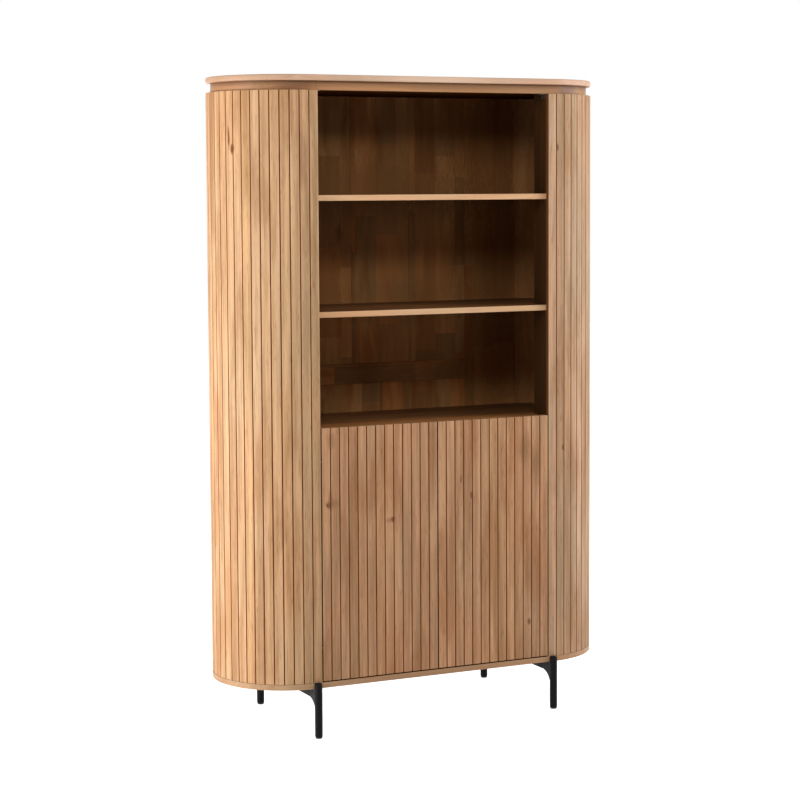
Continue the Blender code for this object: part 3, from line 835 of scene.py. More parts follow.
# near black as painted shade: the door posts stand in the opening's shade
POST_SHADE_WOOD = Wood(
    "post_wood", (0.060, 0.026, 0.008), (0.040, 0.016, 0.005), Grain.UPRIGHT, 0, gloss=0.1, roughness=0.6)
DOOR_WOOD = Wood("door_wood", (0.44, 0.22, 0.085), (0.33, 0.15, 0.055), Grain.UPRIGHT, 0, gloss=0.3)
BACK_WOOD = Wood(
    "back_wood", (0.64, 0.310, 0.110), (0.45, 0.205, 0.070), Grain.UPRIGHT, 0, gloss=0.12, roughness=0.6,
    streaks=0.15, patches=0.75, spread=2.2, drift=0.6, staves=(0.068, 0.27), face_depth=BACK_FACE_DEPTH,
    knots=BACK_KNOTS_AND_SHADE)
SHELL_WOOD = replace(BACK_WOOD, staves=None, knots=SHELL_SHADE)
CUPBOARD_FLOOR_WOOD = Wood(
    "cupboard_floor_wood", BACK_WOOD.light, BACK_WOOD.dark, Grain.LEVEL, 601, gloss=0.15)


def tell(piece: Item) -> None:
    """Logs how many faces a piece has."""
    LOG.info("%s: %d faces", piece.name, len(piece.data.polygons))


@dataclass
class SlatRow:
    """Upright slats that are modelled once and copied, each with its own tint and stretch of grain."""

    name: str
    height: float
    seed: int
    # painted light colour that each slat's tint is multiplied by
    cast: Colour
    wood: Finish
    side_wood: Finish
    width: float = LAYOUT.pitch - LAYOUT.groove
    thick: float = LAYOUT.slat_thick
    chamfer: float = 0.0011
    # width of the band along each edge of the face that gets the painted highlight
    worn: float = 0.0036
    sink: float = 0.0002
    tint_spread: float = 0.05
    tint_limits: tuple[float, float] = (0.88, 1.08)
    warmth_spread: float = 0.010

    def pattern(self) -> Item:
        """Models one slat, with its face on the plane Y = 0 and its foot at Z = 0.

        Returns:
            The slat.
        """
        half = self.width / 2
        slat = Bench.block(self.name + "_pattern", (-half, 0, 0), (half, self.thick + self.sink, self.height))
        Bench.ease(dress(slat, self.wood), self.chamfer, 2, lambda a, b: max(a.y, b.y) < self.chamfer)
        # cuts the bands along the face's edges and marks them for the painted highlight
        for way in (-1, 1):
            Bench.slice(slat, (way * (half - self.worn), 0, 0), (1, 0, 0))
        wear = [max(0.0, (abs(vertex.co.x) - half + self.worn) / self.worn) for vertex in slat.data.vertices]
        slat.data.attributes.new("wear", "FLOAT", "POINT").data.foreach_set("value", wear)
        # the slat's sides, seen in the grooves, get the painted groove shade
        return Bench.paint(slat, self.side_wood, lambda middle, normal: abs(normal.x) > 0.9)

    def copies(self, places: Sequence[tuple[Vector, Vector, float]]) -> list[Item]:
        """Copies the slat to its places.

        Args:
            places: For each slat the plan points of its two face corners, and the height of its foot.

        Returns:
            The slats.
        """
        draw = random.Random(self.seed)
        pattern = self.pattern()
        slats = []
        for number, (first, second, low) in enumerate(places):
            along = (second - first).normalized()
            middle = (first + second) / 2
            place = Matrix((
                (along.x, -along.y, 0, middle.x),
                (along.y, along.x, 0, middle.y),
                (0, 0, 1, low),
                (0, 0, 0, 1)))
            slat = Bench.copy(pattern, f"{self.name}_{number + 1}", place)
            self.mark(slat, draw)
            slats.append(slat)
        bpy.data.objects.remove(pattern)
        return slats

    def mark(self, slat: Item, draw: random.Random) -> None:
        """Writes a slat's tint, a random tone times the row's painted light colour, and its shift of the grain
        into its mesh.

        Args:
            slat: The slat.
            draw: The row's own random numbers.
        """
        darkest, lightest = self.tint_limits
        value = min(lightest, max(darkest, draw.gauss(1.0, self.tint_spread)))
        warmth = draw.gauss(0.0, self.warmth_spread)
        warm = (value * (1 + warmth / 2), value, value * (1 - 2.5 * warmth))
        tint = (*tinted(warm, self.cast), 1.0)
        shift = tuple(draw.uniform(-5, 5) for _ in range(3))
        for name, kind, key, values in (
                ("tint", "FLOAT_COLOR", "color", tint), ("grain_shift", "FLOAT_VECTOR", "vector", shift)):
            attribute = slat.data.attributes.new(name, kind, "POINT")
            attribute.data.foreach_set(key, values * len(slat.data.vertices))


@dataclass
class SlattedEnd:
    """One rounded end: upright slats glued side by side on a thin curved backing."""

    side: Side
    low: float
    high: float
    wood: Finish
    side_wood: Finish
    backing_wood: Finish
    jamb_wood: Finish
    spin_steps: int = 72

    def build(self) -> Item:
        """Models the end and puts it in the place of its CAD node.

        Returns:
            The end.
        """
        node = f"{self.side.word}_end_slats"
        height = self.high - self.low
        # each end's cast is painted light colour: paler on the left, cooler on the right
        seed, cast = (11, LEFT_LIGHT_CAST) if self.side is Side.LEFT else (23, RIGHT_LIGHT_CAST)
        row = SlatRow(f"{self.side.word}_end", height, seed, cast, self.wood, self.side_wood)
        places = []
        for number in range(LAYOUT.end_slats):
            start = number * LAYOUT.pitch + LAYOUT.groove / 2
            end = start + LAYOUT.pitch - LAYOUT.groove
            corners = [LAYOUT.end_point(self.side, along, 0) for along in (start, end)]
            places.append((*corners[::self.side.value], self.low))
        slats = row.copies(places)
        # the first slat's side that faces the opening gets painted shade
        Bench.paint(slats[0], self.jamb_wood, lambda middle, normal: normal.x * self.side.value < -0.9)
        # the backing, seen in the grooves, gets the painted groove shade
        slats.append(dress(self.backing(), self.backing_wood))
        piece = Bench.smooth(Bench.merge(f"{self.side.word}_slatted_end", slats), 30)
        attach(piece, "cabinet")
        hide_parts(node)
        return piece

    def backing(self) -> Item:
        """Models the curved backing: a short flat strip whose end is spun round the half circle.

        The spin operator turns against the axis, so the angle is negative on the right end.

        Returns:
            The backing.
        """
        way = self.side.value
        front = LAYOUT.slat_thick - LAYOUT.radius
        rear = front + LAYOUT.end_backing
        start = way * (LAYOUT.opening_half + LAYOUT.groove / 2)
        edge = way * LAYOUT.end_x
        name = f"{self.side.word}_end_backing"
        strip = Bench.block(name, (start, front, self.low), (edge, rear, self.high))
        length = LAYOUT.end_slats * LAYOUT.pitch - LAYOUT.groove / 2 - LAYOUT.end_return
        Bench.edit(strip, "FACE", lambda middle, normal: abs(middle.x - edge) < 1e-5)
        bpy.ops.mesh.spin(
            steps=self.spin_steps, angle=-way * length / LAYOUT.radius, center=(edge, 0, 0), axis=(0, 0, 1))
        return Bench.close_up(Bench.done(strip), 1e-6)


@dataclass
class SlattedDoor:
    """One door's face: upright slats on a thin backing, with the hinges' sockets cut from behind."""

    side: Side
    wood: Finish
    side_wood: Finish
    backing_wood: Finish
    gap_wood: Finish
    front: float = -0.218
    edge: float = 0.3625
    pivot_in: float = 0.0085
    socket_half: float = 0.0041
    socket_front: float = 0.004
    socket_height: float = 0.0206
    slot_skin: float = 0.002
    slot_reach: float = 0.0133
    slot_height: float = 0.0033
    cutter_reach: float = 0.04

    def build(self) -> Item:
        """Models the door's face and puts it in the place of its CAD node.

        Returns:
            The door's face.
        """
        node = f"{self.side.word}_door_slats"
        low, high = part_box(node)
        seed = 37 if self.side is Side.LEFT else 41
        # the doors' cast is painted light colour
        row = SlatRow(f"{self.side.word}_door", high.z - low.z, seed, DOOR_LIGHT_CAST, self.wood, self.side_wood)
        places = []
        for number in range(LAYOUT.door_slats):
            start = number * LAYOUT.pitch
            end = start + LAYOUT.pitch - LAYOUT.groove
            corners = [Vector((self.side.value * (self.edge - along), self.front)) for along in (start, end)]
            places.append((*sorted(corners, key=lambda corner: corner.x), low.z))
        slats = row.copies(places)
        # the slats' sides in the gaps beside the door get painted shade
        for slat, way in ((slats[0], self.side.value), (slats[-1], -self.side.value)):
            Bench.paint(slat, self.gap_wood, lambda middle, normal: normal.x * way > 0.9)
        Bench.cut(slats[0], *self.cutters())
        outer, inner = self.side.value * self.edge, self.side.value * LAYOUT.groove / 2
        front = self.front + LAYOUT.slat_thick
        rear = front + LAYOUT.door_backing
        backing = Bench.block(node + "_backing", (outer, front, low.z), (inner, rear, high.z))
        # the backing, seen in the grooves, gets the painted groove shade
        slats.append(dress(Bench.cut(backing, *self.cutters()), self.backing_wood))
        piece = Bench.smooth(Bench.merge(f"{self.side.word}_door_face", slats), 30)
        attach(piece, f"{self.side.word}_door")
        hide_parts(node)
        return piece

    def cutters(self) -> list[Item]:
        """Makes a block for each hinge's pin socket and one for the slot of its tongue.

        Returns:
            The blocks.
        """
        blocks = []
        socket_start, socket_end = self.pivot_in - self.socket_half, self.pivot_in + self.socket_half
        for at in ("lower", "upper"):
            low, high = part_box(f"{self.side.word}_{at}_hinge_pin")
            level = (low.z + high.z) / 2
            for half, start, end, skin in (
                    (self.socket_height / 2, socket_start, socket_end, self.socket_front),
                    (self.slot_height / 2, -self.pivot_in, self.slot_reach, self.slot_skin)):
                first = (self.side.value * (self.edge - start), self.front + skin, level - half)
                second = (self.side.value * (self.edge - end), self.front + self.cutter_reach, level + half)
                blocks.append(Bench.block(f"{at}_cutter", first, second))
        return blocks


@dataclass
class RoundedPlate:
    """A flat board whose two ends are half circles, such as the top plate, the frieze or the base plate."""

    name: str
    node: str
    inset: float
    low: float
    high: float
    easing: float
    wood: Finish
    slot: str
    # dark_way 1 paints the top face, -1 the underside, with painted shade as far back as dark_reach
    dark_way: int = 0
    dark_wood: Finish | None = None
    dark_reach: float = 0.150
    sides: int = 190
    easing_steps: int = 3
    sharp_angle: float = 40
    notch_radius: float = 0.0113
    notch_level: float = 0.145
    notch_length: float = 0.08

    def build(self) -> Item:
        """Models the board from a circle that is pulled apart and given thickness.

        Returns:
            The board.
        """
        Bench.clear()
        half_step = math.pi / self.sides
        bpy.ops.mesh.primitive_circle_add(
            vertices=self.sides, radius=LAYOUT.radius - self.inset, fill_type="NGON",
            location=(0, 0, self.low), rotation=(0, 0, half_step))
        board = Bench.settle(self.name)
        for way in (-1, 1):
            Bench.edit(board, "EDGE", lambda a, b: a.x * way > 0 and b.x * way > 0)
            bpy.ops.transform.translate(value=(way * LAYOUT.end_x, 0, 0))
            Bench.done(board)
        Bench.edit(board, "FACE", lambda middle, normal: True)
        bpy.ops.mesh.extrude_region_move(TRANSFORM_OT_translate={"value": (0, 0, self.high - self.low)})
        return Bench.close_up(Bench.done(board))

    def notch(self, board: Item) -> Item:
        """Cuts a notch for each leg's tube out of the board's rim.

        Args:
            board: The board.

        Returns:
            The board.
        """
        cutters = []
        for end in ("front", "rear"):
            for side in Side:
                low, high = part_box(f"{end}_{side.word}_glide")
                middle = (low + high) / 2 + Vector((0, 0, self.notch_level))
                cutters.append(Bench.rod("notch", middle, self.notch_radius, self.notch_length))
        return Bench.cut(board, *cutters)

    def finish(self, board: Item) -> Item:
        """Eases the edges, dresses the board and puts it in the place of its CAD node.

        Args:
            board: The board.

        Returns:
            The board.
        """
        Bench.apply(board, "BEVEL", width=self.easing, segments=self.easing_steps, limit_method="ANGLE",
                    angle_limit=math.radians(self.sharp_angle))
        Bench.smooth(board)
        dress(board, self.wood)
        # painted shade on the top face or the underside, near the front
        if self.dark_way:
            Bench.slice(board, (0, self.dark_reach, 0), (0, 1, 0))
            Bench.paint(board, self.dark_wood,
                        lambda middle, normal: normal.z * self.dark_way > 0.9 and middle.y < self.dark_reach)
        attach(board, "cabinet")
        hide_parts(self.node)
        return board


@dataclass
class Leg:
    """One leg: a round steel tube with a soft foot, and a web that sweeps inwards into the bar behind it."""

    end: str
    side: Side
    steel: Finish
    radius: float = 0.011
    easing: float = 0.0018
    web_thick: float = 0.008
    web_height: float = 0.032
    fillet: float = 0.050
    web_easing: float = 0.0008
    clear_of_tube: float = 0.9

    def build(self) -> Item:
        """Models the leg and puts it in the place of its CAD node.

        Returns:
            The leg.
        """
        node = f"{self.end}_{self.side.word}_leg"
        low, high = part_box(node)
        toward = -1 if self.end == "front" else 1
        x = (low.x + high.x) / 2
        outer = low.y if toward < 0 else high.y
        y = outer - toward * self.radius
        tube = Bench.rod(f"{node}_tube", (x, y, (low.z + high.z) / 2), self.radius, high.z - low.z)
        Bench.ease(tube, self.easing, 3, lambda a, b: abs(a.z - b.z) < 1e-6)
        top = LAYOUT.leg_height - LAYOUT.gap
        bottom = top - self.web_height
        reach = y - toward * (self.radius + self.fillet)
        half = self.web_thick / 2
        web = Bench.block("web", (x - half, y, bottom - self.fillet), (x + half, reach, top))
        sweep = Bench.rod("sweep", (x, reach, bottom - self.fillet), self.fillet, 4 * self.web_thick, 128,
                          (0, math.pi / 2, 0))
        Bench.cut(web, sweep)
        clear = self.radius * self.clear_of_tube

        def on_rim(a: Vector, b: Vector) -> bool:
            """Says whether an edge is on the web's open rim, away from the tube and the bar.

            Args:
                a: One end of the edge.
                b: The other end.

            Returns:
                True for an edge that is eased.
            """
            on_side = abs(a.x - b.x) < 1e-6 and abs(abs(a.x - x) - half) < 1e-5
            at_bar = abs(a.y - reach) + abs(b.y - reach) <= 1e-4
            return on_side and min(abs(a.y - y), abs(b.y - y)) > clear and not at_bar

        Bench.ease(web, self.web_easing, 2, on_rim)
        Bench.cut(tube, web, operation="UNION")
        Bench.smooth(tube, 30)
        dress(tube, self.steel)
        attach(tube, "cabinet")
        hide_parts(node)
        return tube


@dataclass
class ScrewHeads:
    """Pan-head screws with a cross recess, modelled once and copied to their places.

    The easing, the face and the cross are shares of the head's height or radius.
    """

    name: str
    body: str
    metal: Finish
    radius: float = 0.0033
    height: float = 0.0011
    slot: str = "bright_steel"
    easing: float = 0.45
    face: float = 0.9
    cross_reach: float = 0.62
    cross_half: float = 0.11
    cross_floor: float = 0.4
    first_turn: float = 0.4
    next_turn: float = 0.9

    def pattern(self) -> Item:
        """Models one head, standing on the plane Z = 0.

        Returns:
            The head.
        """
        head = Bench.rod(self.name + "_pattern", (0, 0, self.height / 2), self.radius, self.height, 32)
        Bench.ease(head, self.height * self.easing, 3, lambda a, b: min(a.z, b.z) > self.height * self.face)
        reach, half = self.radius * self.cross_reach, self.radius * self.cross_half
        bars = [Bench.block("cross", (-x, -y, self.height * self.cross_floor), (x, y, 3 * self.height))
                for x, y in ((reach, half), (half, reach))]
        Bench.cut(head, Bench.cut(*bars, operation="UNION"))
        return Bench.smooth(head)

    def build(self, places: Sequence[tuple[Point, Point]]) -> Item:
        """Copies the head to its places.

        Args:
            places: For each screw the point under its head, and the way that it looks.

        Returns:
            The screws as one object.
        """
        pattern = self.pattern()
        heads = []
        for number, (point, way) in enumerate(places):
            turn = Vector((0, 0, 1)).rotation_difference(Vector(way)).to_matrix().to_4x4()
            spin = Matrix.Rotation(self.first_turn + self.next_turn * number, 4, "Z")
            place = Matrix.Translation(point) @ turn @ spin
            heads.append(Bench.copy(pattern, f"{self.name}_{number + 1}", place))
        bpy.data.objects.remove(pattern)
        piece = dress(Bench.merge(self.name, heads), self.metal)
        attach(piece, self.body)
        return piece


@dataclass
class Ironwork:
    """The screws of one side's hinges, latch, strike plate and corner bracket."""

    side: Side
    metal: Finish
    dull_metal: Finish
    cup_half: float = 0.0212
    arm_half: float = 0.0122
    arm_base: float = 0.0025
    arm_tongue: float = 0.026
    arm_middle: tuple[float, float] = (-0.011, 0.009)
    bracket_sheet: float = 0.0015
    bracket_shift: float = 0.001
    bracket_half: float = 0.006
    strike_half: float = 0.0085
    latch_depths: tuple[float, float] = (0.008, 0.018)
    small_radius: float = 0.0024
    flat_height: float = 0.0006
    bracket_height: float = 0.0008

    def screws(self, part: str, body: str, places: Sequence[tuple[Point, Point]], **sizes: Any) -> Item:
        """Adds the screws of one part.

        Args:
            part: The part's name without its side.
            body: The body that the screws move with.
            places: For each screw the point under its head, and the way that it looks.
            sizes: Sizes or metal that differ from a hinge's screws.

        Returns:
            The screws.
        """
        sizes.setdefault("metal", self.metal)
        return ScrewHeads(f"{self.side.word}_{part}_screws", body, **sizes).build(places)

    def build(self) -> list[Item]:
        """Models all screws of this side.

        Returns:
            The pieces.
        """
        word, way = self.side.word, self.side.value
        inwards, rearwards, down = (-way, 0, 0), (0, 1, 0), (0, 0, -1)
        small = {"radius": self.small_radius, "height": self.flat_height}
        pieces = []
        for at in ("lower", "upper"):
            low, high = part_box(f"{word}_{at}_hinge_cup")
            x, _, z = (low + high) / 2
            places = [((x, high.y, z + rise), rearwards) for rise in (-self.cup_half, self.cup_half)]
            pieces.append(self.screws(f"{at}_cup", f"{word}_door", places))
            low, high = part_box(f"{word}_{at}_hinge_arm")
            inner, outer = (low.x, high.x) if way > 0 else (high.x, low.x)
            wall, y = outer - way * self.arm_base, (low.y + self.arm_tongue + high.y) / 2
            places = [((wall, y, z + rise), inwards) for rise in (-self.arm_half, self.arm_half)]
            places += [((inner, y + ahead, z), inwards) for ahead in self.arm_middle]
            pieces.append(self.screws(f"{at}_arm", "cabinet", places))
        low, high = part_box(f"{word}_corner_bracket")
        x, y, z = (low + high) / 2
        leaf = (high.x if way > 0 else low.x) - way * self.bracket_sheet
        ends = (y - self.bracket_half, y + self.bracket_half)
        places = [((x - way * self.bracket_shift, end, high.z - self.bracket_sheet), down) for end in ends]
        places += [((leaf, end, z - self.bracket_shift), inwards) for end in ends]
        pieces.append(self.screws(
            "bracket", "cabinet", places, metal=self.dull_metal, radius=self.small_radius,
            height=self.bracket_height))
        low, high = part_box(f"{word}_strike_plate")
        x, _, z = (low + high) / 2
        places = [((x, high.y, z + rise), rearwards) for rise in (-self.strike_half, self.strike_half)]
        pieces.append(self.screws("strike", f"{word}_door", places, **small))
        low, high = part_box(f"{word}_latch_body")
        places = [(((low.x + high.x) / 2, high.y - depth, low.z), down) for depth in self.latch_depths]
        pieces.append(self.screws("latch", "cabinet", places, **small))
        return pieces


@dataclass(frozen=True)
class Lamp:
    """A soft rectangular lamp that looks at a point."""

    name: str
    place: Point
    target: Point
    size: tuple[float, float]
    watts: float

    def build(self) -> None:
        """Adds the lamp to the scene."""
        light = bpy.data.lights.new(self.name, "AREA")
        light.shape = "RECTANGLE"
        light.size, light.size_y = self.size
        light.energy = self.watts
        item = bpy.data.objects.new(self.name, light)
        item.location = self.place
        item.rotation_euler = (Vector(self.target) - Vector(self.place)).to_track_quat("-Z", "Y").to_euler()
        item.visible_camera = False
        bpy.context.scene.collection.objects.link(item)


@dataclass
class Studio:
    """Camera at the photograph's view, soft lamps, and a white floor and background."""

    focal_pixels: float = 2097.0
    frame_pixels: float = 800.0
    yaw: float = 25.485
    pitch: float = 4.5
    roll: float = -0.313
    level_of_axis: float = 352.1
    eye: Point = (-2.6713, -5.5745, 1.5502)
    ambient: float = 0.10
    floor_size: float = 30.0
    glow_reach: tuple[float, float] = (1.2, 2.6)
    glow: tuple[float, float] = (0.93, 1.0)
    lamps: tuple[Lamp, ...] = (
        Lamp("left_softbox", (-3.284, -0.880, 1.3), (0.0, 0.0, 1.0), (1.5, 2.2), 35),
        Lamp("left_low", (-3.188, 0.279, 0.8), (0.0, 0.0, 0.8), (1.5, 1.2), 57),
        Lamp("front_high", (-0.972, -2.085, 2.7), (0.0, -0.2, 1.4), (1.0, 0.7), 20),
        Lamp("right_high", (1.951, -1.219, 2.5), (0.0, -0.2, 1.4), (1.0, 0.7), 14),
        Lamp("right_softbox", (3.195, -1.163, 1.1), (0.0, 0.0, 0.9), (1.5, 2.2), 49),
        Lamp("rear_softbox", (0.6, 3.4, 2.0), (0.0, 0.0, 1.0), (1.5, 2.2), 45),
    )

    def build(self) -> None:
        """Adds everything."""
        self.add_camera()
        for lamp in self.lamps:
            lamp.build()
        self.add_background()
        self.add_floor()
        bpy.context.scene.view_settings.view_transform = "Standard"

    def add_camera(self) -> None:
        """Places the camera where the photograph was taken from."""
        camera = bpy.data.cameras.new("camera")
        camera.sensor_width = 36.0
        camera.lens = self.focal_pixels * camera.sensor_width / self.frame_pixels
        camera.shift_y = (self.level_of_axis - self.frame_pixels / 2) / self.frame_pixels
        camera.clip_end = 100.0
        item = bpy.data.objects.new("camera", camera)
        yaw, pitch = math.radians(self.yaw), math.radians(self.pitch)
        look = Vector((math.sin(yaw) * math.cos(pitch), math.cos(yaw) * math.cos(pitch), -math.sin(pitch)))
        turn = look.to_track_quat("-Z", "Y").to_matrix() @ Matrix.Rotation(math.radians(self.roll), 3, "Z")
        item.location = self.eye
        item.rotation_euler = turn.to_euler()
        bpy.context.scene.collection.objects.link(item)
        bpy.context.scene.camera = item

    @staticmethod
    def seen_directly(sheet: NodeSheet) -> Socket:
        """Gives 1 for what the camera, a gloss or glass sees, and 0 for light on the object.

        Args:
            sheet: The nodes.

        Returns:
            The number.
        """
        rays = sheet.add("LightPath", {}).outputs
        reflected = sheet.math("MAXIMUM", rays["Is Glossy Ray"], rays["Is Transmission Ray"])
        return sheet.math("MAXIMUM", rays["Is Camera Ray"], reflected)

    def add_background(self) -> None:
        """Makes the background white where it is seen, and dimmer where it lights the object."""
        world = bpy.data.worlds.new("studio")
        bpy.context.scene.world = world
        sheet = NodeSheet(world)
        inputs = {"Value": self.seen_directly(sheet), "To Min": self.ambient, "To Max": 1.0}
        background = sheet.tree.nodes["Background"]
        sheet.feed(background, "Color", (1.0, 1.0, 1.0, 1.0))
        sheet.feed(background, "Strength", sheet.add("MapRange", inputs).outputs[0])

    def add_floor(self) -> None:
        """Adds the white floor, which keeps the cabinet's shadow."""
        Bench.clear()
        bpy.ops.mesh.primitive_plane_add(size=self.floor_size)
        floor = Bench.settle("floor")
        sheet = NodeSheet(bpy.data.materials.new("white_floor"))
        sheet.finish(Base_Color=(0.8, 0.8, 0.8, 1.0), Roughness=0.9, Specular_IOR_Level=0.0)
        reach = sheet.vector_math("LENGTH", sheet.place(), output=1)
        strength = sheet.span(reach, *self.glow_reach, *self.glow)
        glow = sheet.add("Emission", {"Strength": strength}).outputs[0]
        both = sheet.add("AddShader", {0: sheet.shader.outputs[0], 1: glow}).outputs[0]
        seen = self.seen_directly(sheet)
        chosen = sheet.add("MixShader", {0: seen, 1: sheet.shader.outputs[0], 2: both}).outputs[0]
        sheet.feed(sheet.tree.nodes["Material Output"], "Surface", chosen)
        dress(floor, sheet.owner)


@dataclass
class Carcass:
    """The boards: posts, shells and back, each with its own stretch of wood."""

    seed: int = 500

    KINDS = {"door_post": POST_SHADE_WOOD, "door_board": DOOR_WOOD, "end_shell": SHELL_WOOD}

    def build(self) -> None:
        """Dresses the boards that stay as they are in the CAD model."""
        back = [f"{level}_back_board_{number}" for level in ("lower", "upper") for number in (1, 2, 3)]
        names = back + [f"{side.word}_back_board" for side in Side] + ["back_rail"]
        pieces = ("end_shell", "door_post", "door_board")
        names += [f"{side.word}_{piece}" for piece in pieces for side in Side]
        for number, name in enumerate(names):
            grain = Grain.LEVEL if name == "back_rail" else Grain.UPRIGHT
            kind = next((wood for ending, wood in self.KINDS.items() if name.endswith(ending)), BACK_WOOD)
            wood = replace(kind, name=f"{name}_wood", grain=grain, seed=self.seed + number)
            dress(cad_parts[name], wood.material())


@dataclass
class BackTongues:
    """Loose tongues in the joints between the boards of the back, which keep the light out; they are near black
    as painted shade in the joints.
    """

    wood: Finish
    rear: float = 0.180
    front: float = 0.174
    bite: float = 0.0003
    easing: float = 0.0001

    def build(self) -> Item:
        """Models one tongue for each joint.

        Returns:
            The tongues as one piece.
        """
        bottom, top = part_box("lower_back_board_1")[0].z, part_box("upper_back_board_1")[1].z
        row = ["left_back_board", *(f"upper_back_board_{number}" for number in (1, 2, 3)), "right_back_board"]
        stack = ["lower_back_board_1", "back_rail", "upper_back_board_1"]
        rail_low, rail_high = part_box("back_rail")
        spans = [((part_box(one)[1].x, bottom), (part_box(other)[0].x, top)) for one, other in zip(row, row[1:])]
        spans += [((rail_low.x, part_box(one)[1].z), (rail_high.x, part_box(other)[0].z))
                  for one, other in zip(stack, stack[1:])]
        tongues = []
        for (left, low), (right, high) in spans:
            across, along = (self.bite, -self.bite) if high - low > right - left else (-self.bite, self.bite)
            tongue = Bench.block(
                "tongue", (left - across, self.front, low - along), (right + across, self.rear, high + along))
            Bench.ease(tongue, self.easing, 1, lambda a, b: True)
            tongues.append(tongue)
        piece = dress(Bench.merge("back_tongues", tongues), self.wood)
        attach(piece, "cabinet")
        return piece


@dataclass
class Shelf:
    """A shelf: a board that reaches into the rounded ends, dark partly from a darker finish and partly as
    painted shade, with a pale solid lipping along its front.
    """

    node: str
    seed: int
    lipping_wood: Finish
    # how far back painted light along the top's front reaches; 0 for none
    strip: float = 0.0
    lipping: float = 0.0028
    easing: float = 0.0006

    def build(self) -> Item:
        """Models the shelf and puts it in the place of its CAD node.

        The board is a copy of the CAD shelf, which loses its front strip to the lipping.

        Returns:
            The shelf.
        """
        low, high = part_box(self.node)
        board = Bench.copy(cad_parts[self.node], f"{self.node}_board", Matrix())
        Bench.close_up(board)
        Bench.slice(board, (0, low.y + self.lipping, 0), (0, 1, 0), use_fill=True, clear_inner=True)
        half = LAYOUT.opening_half + LAYOUT.groove / 2 - LAYOUT.gap
        rear = low.y + self.lipping
        lipping = Bench.block(f"{self.node}_lipping", (-half, low.y, low.z), (half, rear, high.z))
        Bench.ease(lipping, self.easing, 2,
                   lambda a, b: max(a.y, b.y) < low.y + 1e-5 and abs(a.z - b.z) < 1e-5)
        # painted light along the front of the top face
        strip = (Knot((0.0, low.y, high.z), self.strip, 2.0, 0.9, LIT_STRIP_TONE),) if self.strip else ()
        wood = replace(SHELF_WOOD, name=f"{self.node}_wood", seed=self.seed, knots=strip).material()
        piece = Bench.merge(f"{self.node}_lipped", [dress(board, wood), dress(lipping, self.lipping_wood)])
        Bench.smooth(piece)
        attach(piece, "cabinet")
        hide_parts(self.node)
        return piece


@dataclass
class CupboardFloor:
    """The raised middle of the base plate, which is the floor of the cupboard."""

    wood: Finish
    front: float = -0.188
    front_strip: float = 0.0012

    def build(self) -> Item:
        """Models the floor from a copy of the shelf above it, whose outline is the same but for its front.

        Returns:
            The floor.
        """
        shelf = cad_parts["cupboard_shelf"]
        shelf_low, shelf_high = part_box("cupboard_shelf")
        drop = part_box("base_plate")[1].z - shelf_high.z
        floor = Bench.copy(shelf, "cupboard_floor", Matrix.Translation((0, 0, drop)))
        Bench.close_up(floor)
        Bench.edit(floor, "EDGE", lambda a, b: max(a.y, b.y) < shelf_low.y + self.front_strip)
        bpy.ops.transform.translate(value=(0, self.front - shelf_low.y, 0))
        Bench.done(floor)
        dress(floor, self.wood)
        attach(floor, "cabinet")
        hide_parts("base_plate")
        return floor


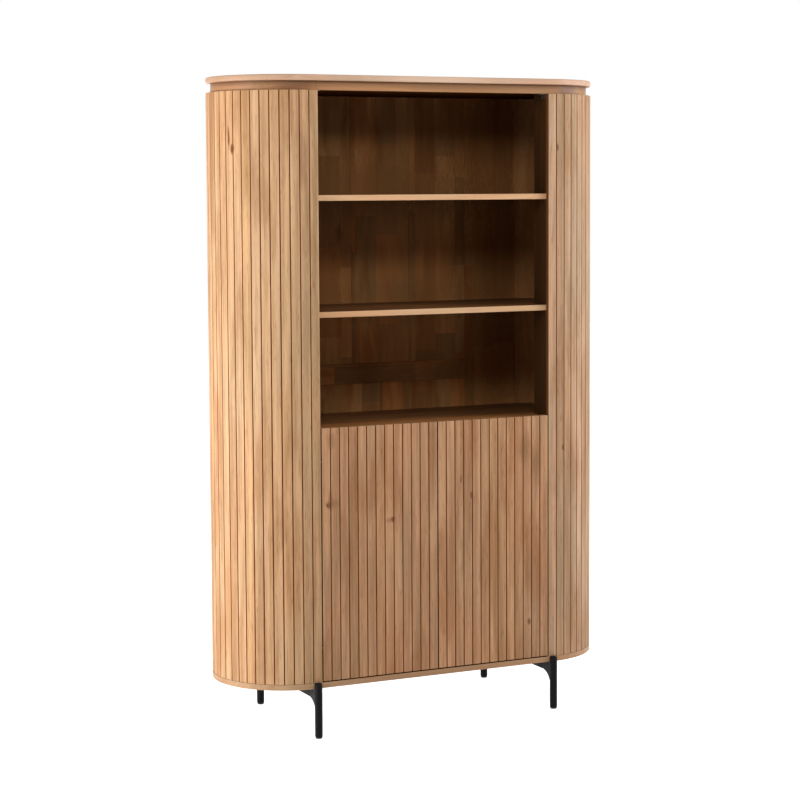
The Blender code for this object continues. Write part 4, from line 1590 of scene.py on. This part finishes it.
def build_woodwork() -> None:
    """Builds the ends, doors, rounded plates, back and shelves, and the cupboard's floor."""
    slat_wood, side_wood, backing_wood = (wood.material() for wood in (SLAT_WOOD, SIDE_SHADE_WOOD, BACKING_SHADE_WOOD))
    hidden_wood, jamb_wood = PAINTED_SHADE_WOOD.material(), JAMB_SHADE_WOOD.material()
    for side in Side:
        low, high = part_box(f"{side.word}_end_slats")
        tell(SlattedEnd(side, low.z, high.z, slat_wood, side_wood, backing_wood, jamb_wood).build())
        tell(SlattedDoor(side, slat_wood, side_wood, backing_wood, hidden_wood).build())
    # the frieze's underside and the base plate's top get painted shade
    for name, node, inset, easing, slot, wood, dark_way in (
            ("top_board", "top_plate", 0.0, 0.0035, "slat_wood", TOP_WOOD, 0),
            ("frieze", "top_deck", 0.0135, 0.0006, "board_wood", FRIEZE_WOOD, -1),
            ("base_board", "base_plate", 0.0, 0.0005, "slat_wood", BASE_WOOD, 1)):
        low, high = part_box(node)
        rise = FLOOR_RISE if node == "base_plate" else 0.0
        plate = RoundedPlate(
            name, node, inset, low.z, high.z - rise, easing, wood.material(), slot, dark_way, hidden_wood)
        board = plate.build()
        if node == "base_plate":
            plate.notch(board)
        tell(plate.finish(board))
    Carcass().build()
    tell(BackTongues(hidden_wood).build())
    lipping_wood = LIPPING_WOOD.material()
    for number, node in enumerate(("upper_shelf", "lower_shelf", "divider", "cupboard_shelf")):
        strip = DIVIDER_LIT_STRIP if node == "divider" else 0.0
        tell(Shelf(node, SHELF_WOOD.seed + number, lipping_wood, strip).build())
    tell(CupboardFloor(CUPBOARD_FLOOR_WOOD.material()).build())


def build_fittings() -> None:
    """Builds the legs and screws, and dresses the fittings that stay as they are in the CAD model."""
    steel, nickel, zinc, grey, black = (
        coating.material() for coating in (POWDER_COAT, NICKEL, ZINC, GREY_PLASTIC, BLACK_PLASTIC))
    ends = ("front", "rear")
    for end in ends:
        for side in Side:
            tell(Leg(end, side, steel).build())
    for side in Side:
        word = side.word
        bright = [f"{word}_strike_plate"] + [f"{end}_{word}_rail_screw" for end in ends]
        for at in ("lower", "upper"):
            bright += [f"{word}_{at}_hinge_{piece}" for piece in ("arm", "cup", "pin")]
        dress_nodes([f"{word}_rail"], steel)
        dress_nodes(bright, nickel)
        dress_nodes([f"{word}_corner_bracket"], zinc)
        dress_nodes([f"{word}_latch_body", f"{word}_latch_plunger"], grey)
        dress_nodes([f"{end}_{word}_glide" for end in ends], black)
        for piece in Ironwork(side, nickel, zinc).build():
            tell(piece)


def main() -> None:
    """Builds the cabinet's looks and the studio."""
    logging.basicConfig(level=logging.INFO, format="%(message)s")
    build_woodwork()
    build_fittings()
    Studio().build()


if __name__ == "__main__":
    main()
